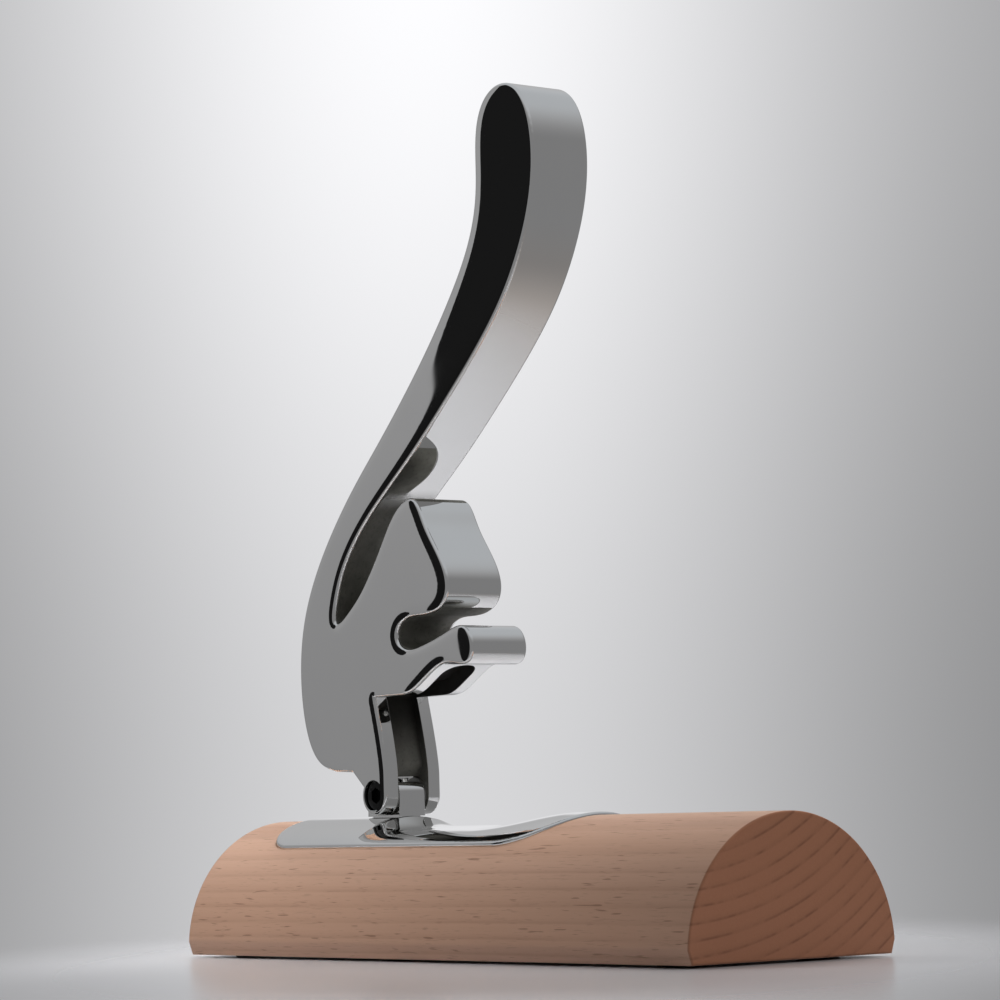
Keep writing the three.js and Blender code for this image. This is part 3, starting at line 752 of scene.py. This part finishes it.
def bake_modifiers(piece):
    """Turns a piece's modifiers into plain mesh."""
    bpy.context.view_layer.update()
    graph = bpy.context.evaluated_depsgraph_get()
    mesh = bpy.data.meshes.new_from_object(piece.evaluated_get(graph), depsgraph=graph)
    old = piece.data
    piece.modifiers.clear()
    piece.data = mesh
    bpy.data.meshes.remove(old)
    mesh.name = piece.name


def combine(piece, operation, *tools):
    """Joins bmeshes to a piece, or cuts them from it."""
    for bm in tools:
        tool = to_object("tool", bm)
        boolean = piece.modifiers.new("combine", "BOOLEAN")
        boolean.operation = operation
        boolean.solver = "EXACT"
        boolean.object = tool
        bake_modifiers(piece)
        mesh = tool.data
        bpy.data.objects.remove(tool)
        bpy.data.meshes.remove(mesh)
    if len(piece.data.polygons) == 0:
        raise RuntimeError(f"{piece.name} was lost in a cut")


def smooth(piece, degrees=SHARP_DEGREES):
    """Shades a piece smoothly, with sharp edges where it turns fast."""
    bm = bmesh.new()
    bm.from_mesh(piece.data)
    bmesh.ops.dissolve_degenerate(bm, dist=WELD, edges=bm.edges)
    bm.to_mesh(piece.data)
    bm.free()
    piece.data.shade_smooth()
    piece.data.set_sharp_from_angle(angle=math.radians(degrees))
    weighted = piece.modifiers.new("weighted normals", "WEIGHTED_NORMAL")
    weighted.mode = "FACE_AREA"
    weighted.keep_sharp = True
    bake_modifiers(piece)


def reshape(piece, move):
    """Moves the points of a finished piece, and turns its normals with them."""
    mesh = piece.data
    places = np.empty(3 * len(mesh.vertices))
    mesh.vertices.foreach_get("co", places)
    places = places.reshape(-1, 3)
    normals = np.empty(3 * len(mesh.loops))
    mesh.corner_normals.foreach_get("vector", normals)
    corners = np.empty(len(mesh.loops), dtype=int)
    mesh.loops.foreach_get("vertex_index", corners)
    stretch = np.stack([
        (move(places + NUDGE * axis) - move(places - NUDGE * axis)) / (2 * NUDGE)
        for axis in np.eye(3)
    ], axis=1)
    back = np.linalg.inv(stretch)[corners]
    turned_normals = np.einsum("nij,nj->ni", back, normals.reshape(-1, 3))
    turned_normals /= np.linalg.norm(turned_normals, axis=1, keepdims=True)
    mesh.vertices.foreach_set("co", move(places).ravel())
    mesh.update()
    mesh.normals_split_custom_set(turned_normals)


def dress(piece, material, body, slot, *nodes):
    """Gives a piece its material and its place in the frame."""
    piece.data.materials.clear()
    piece.data.materials.append(material)
    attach(piece, body)
    if nodes:
        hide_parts(*nodes)


def make(name, bm, cuts, move, *place):
    """Makes a piece: cuts it, smooths it, shapes it and gives it its place in the frame."""
    piece = to_object(name, bm)
    combine(piece, "DIFFERENCE", *cuts)
    smooth(piece)
    if move:
        reshape(piece, move)
    dress(piece, *place)


def plain(*nodes):
    """What make is told of a piece of plain steel that is fixed to the base."""
    return None, plain_steel(), "base", "plain_steel", *nodes


def depth_inside(points, loop):
    """How deep points lie inside a closed loop, rounded off along its middle."""
    fine = resample(np.vstack([loop, loop[:1]]), RIM_STEP)
    middle = (fine[1:] + fine[:-1]) / 2
    span = np.hypot(*np.diff(fine, axis=0).T)
    depths = np.empty(len(points))
    for i in range(0, len(points), BATCH):
        part = points[i:i + BATCH]
        gap = ((part[:, None, :] - middle[None]) ** 2).sum(2) + RIM_EASE ** 2
        depths[i:i + BATCH] = (2 / math.pi * (span / gap ** 2).sum(1)) ** (-1 / 3)
    return depths


def crowned(lever, loop, places):
    """Lets the side faces fall away a little toward the rim."""
    fall = lever.crown * np.exp(-depth_inside(places[:, (0, 2)], loop) / lever.crown_width)
    moved = places.copy()
    moved[:, 1] *= 1 - 2 * fall / lever.thickness
    return moved


def slot_tool(lever):
    """What is cut out between the cheeks, up the front edge and under the jaw."""
    web = PIVOT.z + lever.web_height
    out = SPARE
    corner_x, ledge_z = lever_spot(LEDGE_CORNER_SHARE)
    floor_x = PIVOT.x + lever.lug_radius - lever.groove_depth
    under = resample(spline([lever_spot(share) for share in JAW_SHARES[:7]], 6), ROOF_STEP)
    roof = [(x - lever.groove_roof / 3, z + lever.groove_roof) for x, z in under]
    last_x, last_z = under[-1]
    low = PIVOT.z - lever.lug_radius - out
    rear = PIVOT.x - lever.lug_radius - 3 * out
    far = PIVOT.x + lever.reach / 2
    profile = [
        (rear, low), (far, low), (far, last_z + lever.groove_roof),
        (last_x, last_z + lever.groove_roof), *roof[:-1][::-1],
        (corner_x - lever.groove_depth + lever.groove_roof, ledge_z + lever.groove_roof),
        (corner_x - lever.groove_depth, ledge_z),
        (floor_x, web + 2 * lever.web_chamfer),
        (floor_x - lever.web_chamfer / 3, web + lever.web_chamfer),
        (floor_x - lever.web_chamfer, web),
        (rear, web),
    ]
    half = lever.slot_width / 2
    inside = to_object("slot", prism(profile, "xz", -half, half))
    end = PIVOT.x + lever.groove_reach - half
    turn = np.linspace(-math.pi / 2, math.pi / 2, 33)
    plan = [
        (rear - out, -half - out), (end, -half - out),
        *[(end + half * math.cos(a), half * math.sin(a)) for a in turn],
        (end, half + out), (rear - out, half + out),
    ]
    combine(inside, "INTERSECT", prism(plan, "xy", low - out, PIVOT.z + lever.rise / 2))
    return from_object(inside)


class PRESS_OT_lever(bpy.types.Operator):
    """Models the lever: one thick polished piece with a forked foot, a jaw and a tall handle"""
    bl_idname = "press.lever"
    bl_label = "Lever"

    def execute(self, context):
        lever, hinge = settings("lever"), settings("hinge")
        loop = lever_outline()
        face = lever.thickness / 2
        bm = prism(loop, "xz", -face, face)
        bevel(bm, flat_rims(bm, 1, -face, face), lever.edge_round, 5)
        sides = [f for f in bm.faces if len(f.verts) > SIDE_POINTS]
        (x_low, z_low), (x_high, z_high) = loop.min(0), loop.max(0)
        slice_faces(bm, sides, 2, z_low, z_high, lever.fineness)
        slice_faces(bm, [], 0, x_low, x_high, lever.fineness)
        sunk = hinge.head_sink + hinge.head_height
        bore = hinge.bolt_radius + hinge.bore_gap
        head = hinge.head_radius + hinge.bore_gap
        front = lever_spot(LEDGE_CORNER_SHARE)[0]
        mark = (0, lever.mark_inset - face, PIVOT.z + lever.mark_height)
        make("polished_lever", bm, [
            slot_tool(lever), rod(bore, "y", PIVOT, -2 * face, 2 * face),
            rod(head, "y", PIVOT, -2 * face, sunk - face),
            rod(head, "y", PIVOT, face - sunk, 2 * face),
            rod(lever.mark_radius, "x", mark, front - lever.mark_depth / 2,
                front + 3 * lever.mark_depth, 32),
        ], lambda places: crowned(lever, loop, places),
            lever_steel(), "press_lever", "polished_steel", "lever")
        return {"FINISHED"}


def dish_drop(saddle, x, along):
    """How far the dish lowers the sheet."""
    start = PIVOT.x + settings("hinge").post_front + saddle.dish_gap
    end = start + saddle.dish_entry + saddle.dish_floor + saddle.dish_exit
    fall = np.clip((x - start) / saddle.dish_entry, 0, 1)
    rise = np.clip((end - x) / saddle.dish_exit, 0, 1)
    outward = np.abs(along) / saddle.half_width - saddle.dish_flat
    outward = np.clip(outward / (1 - saddle.dish_flat), 0, 1)
    ease = np.sin(math.pi / 2 * fall) * rise * rise * (3 - 2 * rise)
    return saddle.dish_depth * ease * np.cos(math.pi / 2 * outward) ** 2


def saddle_outline(saddle, grow):
    """The flat outline of the saddle sheet, in X and along its curve."""
    back = PIVOT.x - saddle.back_reach
    tip = PIVOT.x + saddle.front_reach
    turn = np.linspace(0, math.pi / 2, 20)
    rounded = np.column_stack([
        back - grow + saddle.back_round * (1 - np.cos(turn)),
        saddle.back_flat + grow + (saddle.half_width - saddle.back_flat) * np.sin(turn),
    ])
    taper = grow + spline([
        (tip - saddle.taper * (1 - share), saddle.half_width * width)
        for share, width in SADDLE_TAPER_SHARES
    ], 6)
    straight = resample([rounded[-1], taper[0]], STRAIGHT_STEP)
    side = np.vstack([rounded, straight[1:-1], resample(taper, TAPER_STEP)])
    return np.vstack([side, side[::-1] * (1, -1)])


def saddle_sheet(grow=0, above=0, below=0):
    """The sheet before it is bent, or with allowances the room that the wood leaves for it."""
    saddle = settings("saddle")
    bm = prism(saddle_outline(saddle, grow), "xy", -saddle.thickness - below, above)
    if not grow:
        bevel(bm, flat_rims(bm, 2, above, -saddle.thickness), saddle.edge_round, 4)
    fineness = ROOM_FINENESS if grow else SHEET_FINENESS
    low = [min(v.co[i] for v in bm.verts) for i in range(2)]
    high = [max(v.co[i] for v in bm.verts) for i in range(2)]
    slice_faces(bm, list(bm.faces), 0, low[0], high[0], fineness)
    slice_faces(bm, [], 1, low[1], high[1], fineness)
    return bm


def bent(saddle, places):
    """Bends the flat sheet round the base, with its dish."""
    base = settings("base")
    crown = base.radius + saddle.proud
    x, along, height = places.T
    radius = crown + height - dish_drop(saddle, x, along)
    turn = along / crown
    axis_z = base.foot_proud + base.height - base.radius
    return np.column_stack([x, radius * np.sin(turn), axis_z + radius * np.cos(turn)])


def seat_height():
    base = settings("base")
    return base.foot_proud + settings("fasteners").recess


def crown_height():
    return settings("base").foot_proud + settings("base").height + settings("saddle").proud


def stud_places():
    saddle, held = settings("saddle"), settings("fasteners")
    return {
        "rear": PIVOT.x - saddle.back_reach + held.stud_back,
        "front": PIVOT.x + saddle.front_reach - held.stud_front,
    }


def screw_places():
    hinge, held = settings("hinge"), settings("fasteners")
    middle = PIVOT.x + (hinge.tenon_front - hinge.tenon_rear) / 2
    return {"rear": middle - held.screw_spacing / 2, "front": middle + held.screw_spacing / 2}


def tenon(hinge, low, high, gap):
    """A bmesh of the tenon between two levels, or with a gap of the room that it needs."""
    side = hinge.tenon_thickness / 2 + gap
    return brick((PIVOT.x - hinge.tenon_rear - gap, -side, low),
                 (PIVOT.x + hinge.tenon_front + gap, side, high))


class PRESS_OT_saddle(bpy.types.Operator):
    """Models the polished saddle sheet with its dish and its two welded studs"""
    bl_idname = "press.saddle"
    bl_label = "Saddle"

    def execute(self, context):
        saddle, hinge, held = settings("saddle"), settings("hinge"), settings("fasteners")
        gap, depth = settings("base").gap, 2 * saddle.thickness
        make("polished_saddle", saddle_sheet(), [tenon(hinge, -depth, depth, gap)],
             lambda places: bent(saddle, places),
             polished_steel(), "base", "polished_steel", "steel_saddle")
        low = seat_height() - held.nut_washer_thickness - held.nut_height - held.nut_cover
        high = crown_height() - saddle.thickness
        chamfer = 0.5 * MM
        for end, x in stud_places().items():
            make(f"welded_stud_{end}", turned([
                (0, low), (held.stud_radius - chamfer, low), (held.stud_radius, low + chamfer),
                (held.stud_radius, high), (0, high),
            ], "z", (x, 0, 0), 40), [], *plain())
        return {"FINISHED"}


def foot_places():
    base = settings("base")
    x, y = base.length / 2 - base.foot_from_end, base.foot_from_middle
    return [(-x, -y), (x, -y), (-x, y), (x, y)]


class PRESS_OT_base(bpy.types.Operator):
    """Models the half-round beech base with what is let into it"""
    bl_idname = "press.base"
    bl_label = "Base"

    def execute(self, context):
        base, saddle, hinge, held = map(settings, ("base", "saddle", "hinge", "fasteners"))
        bottom = base.foot_proud
        axis_z = bottom + base.height - base.radius
        low = math.acos((bottom + base.chamfer_height - axis_z) / base.radius)
        arc = [(base.radius * math.sin(a), axis_z + base.radius * math.cos(a))
               for a in np.linspace(low, -low, 120)]
        tuck = base.chamfer_width
        section = [(arc[0][0] - tuck, bottom), *arc, (arc[-1][0] + tuck, bottom)]
        half = base.length / 2
        bm = prism(section, "yz", -half, half)
        bevel(bm, flat_rims(bm, 0, -half, half), base.end_round, 3)
        piece = to_object("beech_base", bm)
        gap = base.gap
        room = to_object("room", saddle_sheet(gap, 3 * saddle.proud + saddle.dish_depth, gap))
        reshape(room, lambda places: bent(saddle, places))
        tenon_low = crown_height() - hinge.tenon_depth
        rooms = [from_object(room), tenon(hinge, tenon_low - gap, crown_height(), gap)]
        ends = list(screw_places().values())
        wide = held.screw_washer + gap
        turn = np.linspace(-math.pi / 2, math.pi / 2, 25)
        slot = [(ends[1] + wide * math.cos(a), wide * math.sin(a)) for a in turn]
        slot += [(ends[0] - wide * math.cos(a), -wide * math.sin(a)) for a in turn]
        rooms.append(prism(slot, "xy", -bottom, seat_height()))
        for x in ends:
            rooms.append(rod(held.screw_radius + gap, "z", (x, 0, 0), bottom, tenon_low))
        for x in stud_places().values():
            rooms.append(rod(held.stud_radius + gap, "z", (x, 0, 0), bottom, crown_height()))
            rooms.append(rod(held.nut_washer + gap, "z", (x, 0, 0), -bottom, seat_height()))
        for x, y in foot_places():
            rooms.append(rod(base.foot_radius + gap, "z", (x, y, 0), -bottom, base.foot_thickness))
        combine(piece, "DIFFERENCE", *rooms)
        smooth(piece, 30)
        dress(piece, beech_wood(), "base", "beech", "wood_base")
        return {"FINISHED"}


class PRESS_OT_post(bpy.types.Operator):
    """Models the steel post with its stop and its tenon"""
    bl_idname = "press.post"
    bl_label = "Post"

    def execute(self, context):
        hinge, lever, held = settings("hinge"), settings("lever"), settings("fasteners")
        seat = crown_height() + POST_GAP
        front, rear = PIVOT.x + hinge.post_front, PIVOT.x - hinge.post_rear
        top = PIVOT.z + hinge.post_top
        stop_top = PIVOT.z + lever.web_height - hinge.bore_gap
        turn = np.linspace(0, math.pi / 2, 20)
        radius = hinge.post_round
        rounded = [(front - radius * (1 - math.cos(a)), top - radius * (1 - math.sin(a)))
                   for a in turn]
        stop = rear + hinge.stop_length
        profile = [(rear, seat), (front, seat), *rounded, (stop, top), (stop, stop_top),
                   (rear, stop_top)]
        half = hinge.post_thickness / 2
        bm = prism(profile, "xz", -half, half)
        rims = [e for e in flat_rims(bm, 1, -half, half)
                if max(v.co.z for v in e.verts) > seat + TINY]
        bevel(bm, rims, POST_BEVEL, 3)
        piece = to_object("polished_post", bm)
        low = crown_height() - hinge.tenon_depth
        combine(piece, "UNION", tenon(hinge, low, seat + SPARE, 0))
        cuts = [rod(hinge.bolt_radius + hinge.bore_gap, "y", PIVOT, -2 * half, 2 * half)]
        for x in screw_places().values():
            cuts.append(rod(held.screw_radius + hinge.bore_gap, "z", (x, 0, 0),
                            low - SPARE, low + held.screw_bite + hinge.bore_gap))
        combine(piece, "DIFFERENCE", *cuts)
        smooth(piece)
        dress(piece, polished_steel(), "base", "polished_steel", "hinge_post")
        return {"FINISHED"}


class PRESS_OT_pivot(bpy.types.Operator):
    """Models the pivot's bolt, its slotted nut and the two thrust washers"""
    bl_idname = "press.pivot"
    bl_label = "Pivot"

    def execute(self, context):
        hinge, lever = settings("hinge"), settings("lever")
        face = lever.thickness / 2
        head = hinge.head_sink - face
        edge = 0.4 * MM
        r, h = hinge.head_radius, hinge.head_height
        far = face - hinge.head_sink - hinge.bore_gap
        make("polished_bolt", turned([
            (0, head), (r - edge, head), (r - edge * 0.3, head + edge * 0.3), (r, head + edge),
            (r, head + h), (hinge.bolt_radius, head + h), (hinge.bolt_radius, far - edge),
            (hinge.bolt_radius - edge, far), (0, far),
        ], "y", PIVOT), [
            rod(hinge.socket_radius, "y", PIVOT, head - h, head + hinge.socket_depth, 6),
        ], None, shade_painted_steel(), "press_lever", "polished_steel", "pivot_bolt")
        outer = face - hinge.head_sink
        inner = hinge.bolt_radius + hinge.bore_gap
        slot = hinge.nut_slot_width / 2
        make("polished_nut", turned([
            (inner, outer - h), (r, outer - h), (r, outer - edge),
            (r - edge * 0.3, outer - edge * 0.3), (r - edge, outer), (inner + edge, outer),
            (inner, outer - edge),
        ], "y", PIVOT), [
            brick((PIVOT.x - 2 * r, outer - hinge.nut_slot_depth, PIVOT.z - slot),
                  (PIVOT.x + 2 * r, outer + h, PIVOT.z + slot)),
        ], None, polished_steel(), "press_lever", "polished_steel", "pivot_nut")
        for end, side in (("near", -1), ("far", 1)):
            low, high = sorted((side * hinge.post_thickness / 2, side * lever.slot_width / 2))
            make(f"thrust_ring_{end}", turned([
                (inner, low), (hinge.washer_radius, low),
                (hinge.washer_radius, high), (inner, high),
            ], "y", PIVOT), [], *plain(f"thrust_washer_{end}"))
        return {"FINISHED"}


class PRESS_OT_fasteners(bpy.types.Operator):
    """Models the screws, nuts and washers in the wood's underside"""
    bl_idname = "press.fasteners"
    bl_label = "Fasteners"

    def execute(self, context):
        hinge, held, base = settings("hinge"), settings("fasteners"), settings("base")
        seat = seat_height()
        edge = 0.4 * MM
        tenon_low = crown_height() - hinge.tenon_depth
        for end, x in screw_places().items():
            top = seat - held.screw_washer_thickness
            low = top - held.screw_head_height
            high = tenon_low + held.screw_bite
            make(f"turned_screw_{end}", turned([
                (0, low), (held.screw_head - edge, low), (held.screw_head, low + edge),
                (held.screw_head, top), (held.screw_radius, top),
                (held.screw_radius, high - edge), (held.screw_radius - edge, high), (0, high),
            ], "z", (x, 0, 0), 48), [
                rod(held.screw_socket, "z", (x, 0, 0),
                    low - edge, low + held.screw_socket_depth, 6),
            ], *plain(f"post_screw_{end}"))
            self.washer(f"post_washer_{end}", x, held.screw_washer,
                        held.screw_washer_thickness, held.screw_radius)
        for end, x in stud_places().items():
            self.washer(f"saddle_washer_{end}", x, held.nut_washer,
                        held.nut_washer_thickness, held.stud_radius)
            top = seat - held.nut_washer_thickness
            low = top - held.nut_height
            hexagon = rod(held.nut_flats / math.sqrt(3), "z", (x, 0, 0), low, top, 6)
            bevel(hexagon, flat_rims(hexagon, 2, low), edge, 2)
            bore = rod(held.stud_radius + base.gap, "z", (x, 0, 0), 0, top + edge, 40)
            make(f"turned_nut_{end}", hexagon, [bore], *plain(f"saddle_nut_{end}"))
        return {"FINISHED"}

    def washer(self, node, x, radius, thickness, hole):
        seat = seat_height()
        inner = hole + settings("base").gap
        edge = 0.12 * MM
        make(f"turned_{node}", turned([
            (inner, seat - thickness), (radius - edge, seat - thickness),
            (radius, seat - thickness + edge), (radius, seat), (inner, seat),
        ], "z", (x, 0, 0), 48), [], *plain(node))


class PRESS_OT_feet(bpy.types.Operator):
    """Models the four rubber feet"""
    bl_idname = "press.feet"
    bl_label = "Feet"

    def execute(self, context):
        base = settings("base")
        radius, edge, dip = base.foot_radius, 0.5 * MM, 0.3 * MM
        for i, (x, y) in enumerate(foot_places()):
            make(f"rubber_foot_{i + 1}", turned([
                (0, dip), (radius * 0.45, dip), (radius * 0.55, 0), (radius - edge, 0),
                (radius - edge * 0.3, edge * 0.3), (radius, edge),
                (radius, base.foot_thickness), (0, base.foot_thickness),
            ], "z", (x, y, 0), 64), [], None, black_rubber(), "base", "rubber", f"foot_{i + 1}")
        return {"FINISHED"}


def studio_world(stage):
    """Plain soft light, a pale backdrop, and a dark opening that only the steel reflects."""
    world = bpy.data.worlds.new("studio")
    world.use_nodes = True
    w = Graph(world.node_tree)
    direction = w.node("ShaderNodeTexCoord", output=0)
    x, y, z = w.split(direction)
    turn = w.math("ARCTAN2", x * -1, y * -1) * DEGREES
    rise = w.math("ARCSINE", z) * DEGREES

    def glow(aim, width):
        """Light round one direction, fading over a width in degrees."""
        nearness = w.node("ShaderNodeVectorMath", {"operation": "DOT_PRODUCT"},
                          {0: direction, 1: Vector(aim).normalized()}, output=1)
        return w.math("EXPONENT", (nearness - 1) * (1 / (1 - math.cos(math.radians(width)))))

    aside = w.math("ABSOLUTE", turn - BACKDROP_TURN)
    dome = w.math("EXPONENT", aside * aside * (-1 / DOME_WIDTH ** 2))
    backdrop = 0.25 + dome * 0.53 + w.step(aside, 14, 50) * 0.35
    backdrop = backdrop * (0.87 + w.step(rise, 0, 13) * 0.4)
    sides = 0.235 + glow(*LOW_GLOW) * (0.055 + w.step(rise, 1, 9) * 0.07)
    sides = sides + glow(*HIGH_GLOW) * 0.24
    sides = sides + w.step(rise, 18, 48) * 0.27 + w.step(rise, -34, -56) * 0.26
    start, end = stage.opening_start, stage.opening_end
    opening = w.step(turn - rise * OPENING_LEAN, end + OPENING_SHARP, end - OPENING_SHARP) \
        * w.step(turn, start - OPENING_SOFT, start + OPENING_SOFT) * w.step(rise, *OPENING_TOP)
    mirrored = w.math("MAXIMUM", sides * (1 - opening * 0.97), glow(*WALL) * backdrop)
    path = w.node("ShaderNodeLightPath").socket.node
    camera, glossy, through = (
        Wire(w, path.outputs[f"Is {ray} Ray"]) for ray in ("Camera", "Glossy", "Transmission"))
    level = stage.plain + camera * (backdrop - stage.plain)
    level = level + w.math("MAXIMUM", glossy, through) * (mirrored - stage.plain)
    warmth = w.step(rise, -20, -50) - w.step(rise, 25, 50) * 0.4
    tint = w.node("ShaderNodeCombineColor", None, {
        "Red": level * (1 + warmth * 0.1), "Green": level,
        "Blue": level * (1.02 - warmth * 0.08),
    })
    light = w.node("ShaderNodeBackground", None, {"Color": tint})
    w.node("ShaderNodeOutputWorld", None, {"Surface": light})
    return world


def softbox(name, place, target, size, power, spread=180):
    """A square area lamp that lights the press but is itself seen nowhere."""
    lamp = bpy.data.lights.new(name, "AREA")
    lamp.shape = "RECTANGLE"
    lamp.size = lamp.size_y = size
    lamp.energy = power
    lamp.spread = math.radians(spread)
    made = bpy.data.objects.new(name, lamp)
    made.location = place
    made.rotation_euler = (Vector(target) - Vector(place)).to_track_quat("-Z", "Y").to_euler()
    made.visible_glossy = made.visible_camera = False
    bpy.context.scene.collection.objects.link(made)


class PRESS_OT_stage(bpy.types.Operator):
    """Sets the floor, the backdrop, the light and the camera"""
    bl_idname = "press.stage"
    bl_label = "Stage"

    def execute(self, context):
        stage = settings("stage")
        scene = context.scene
        az, tilt, roll = stage.azimuth, stage.tilt, stage.roll
        flat = math.cos(tilt)
        forward = Vector((-math.sin(az) * flat, math.cos(az) * flat, math.sin(tilt)))
        right = Vector((math.cos(az), math.sin(az), 0))
        upright = right.cross(forward)
        floor_look, g = new_material("floor")
        across, along, _ = g.split(g.place())
        ahead = across * forward.x + along * forward.y
        aside = (across * right.x + along * right.y) * stage.floor_narrow
        away = g.math("SQRT", ahead ** 2 + aside ** 2)
        fade = g.node("ShaderNodeMixShader", None, {
            0: g.step(away, stage.floor_fade, FADE_END * stage.floor_fade),
            1: g.node("ShaderNodeBsdfPrincipled", None,
                      {"Base Color": rgba(stage.floor), "Roughness": 0.2}),
            2: g.node("ShaderNodeBsdfTransparent"),
        })
        g.node("ShaderNodeOutputMaterial", None, {"Surface": fade})
        bm = bmesh.new()
        bmesh.ops.create_circle(
            bm, cap_ends=True, segments=96, radius=FLOOR_REACH * stage.floor_fade)
        floor = to_object("floor", bm)
        floor.data.materials.append(floor_look)
        scene.world = studio_world(stage)
        softbox("overhead", (-0.25, 0.55, 0.9), (-0.05, 0.1, 0), 0.7, stage.overhead)
        softbox("left", (-0.31, -0.13, 0.31), (-0.12, -0.02, 0.02), 0.28, stage.left, 45)
        softbox("right", (0.5, 0.2, 0.4), (0.1, 0, 0.02), 0.3, stage.right)
        turned_right = right * math.cos(roll) + upright * math.sin(roll)
        turned_up = upright * math.cos(roll) - right * math.sin(roll)
        camera = bpy.data.cameras.new("camera")
        camera.sensor_width = 36
        camera.lens = stage.focal / stage.pixels * camera.sensor_width
        camera.clip_start = 0.01
        holder = bpy.data.objects.new("camera", camera)
        facing = Matrix((turned_right, turned_up, -forward)).transposed().to_4x4()
        holder.matrix_world = Matrix.Translation(stage.place) @ facing
        scene.collection.objects.link(holder)
        scene.camera = holder
        scene.view_settings.view_transform = "Standard"
        return {"FINISHED"}


class PRESS_PT_panel(bpy.types.Panel):
    """Lists the press's pieces"""
    bl_idname = "PRESS_PT_panel"
    bl_label = "Lever Nutcracker Press"
    bl_space_type = "VIEW_3D"
    bl_region_type = "UI"
    bl_category = "Press"

    def draw(self, context):
        for step in STEPS:
            self.layout.operator(step.bl_idname)
        for name in GROUPS:
            box = self.layout.box()
            group = settings(name)
            for key in group.bl_rna.properties.keys():
                if key not in ("rna_type", "name"):
                    box.prop(group, key)


GROUPS = {
    "lever": PRESS_PG_lever,
    "hinge": PRESS_PG_hinge,
    "saddle": PRESS_PG_saddle,
    "base": PRESS_PG_base,
    "fasteners": PRESS_PG_fasteners,
    "finish": PRESS_PG_finish,
    "stage": PRESS_PG_stage,
}
STEPS = [
    PRESS_OT_stage,
    PRESS_OT_base,
    PRESS_OT_saddle,
    PRESS_OT_post,
    PRESS_OT_lever,
    PRESS_OT_pivot,
    PRESS_OT_fasteners,
    PRESS_OT_feet,
]


def register():
    for made in [*GROUPS.values(), *STEPS, PRESS_PT_panel]:
        bpy.utils.register_class(made)
    for name, group in GROUPS.items():
        setattr(bpy.types.Scene, f"press_{name}", PointerProperty(type=group))


def unregister():
    for name in GROUPS:
        delattr(bpy.types.Scene, f"press_{name}")
    for made in [PRESS_PT_panel, *reversed(STEPS), *GROUPS.values()]:
        bpy.utils.unregister_class(made)


def main():
    register()
    for step in STEPS:
        group, name = step.bl_idname.split(".")
        getattr(getattr(bpy.ops, group), name)()


if __name__ == "__main__":
    main()
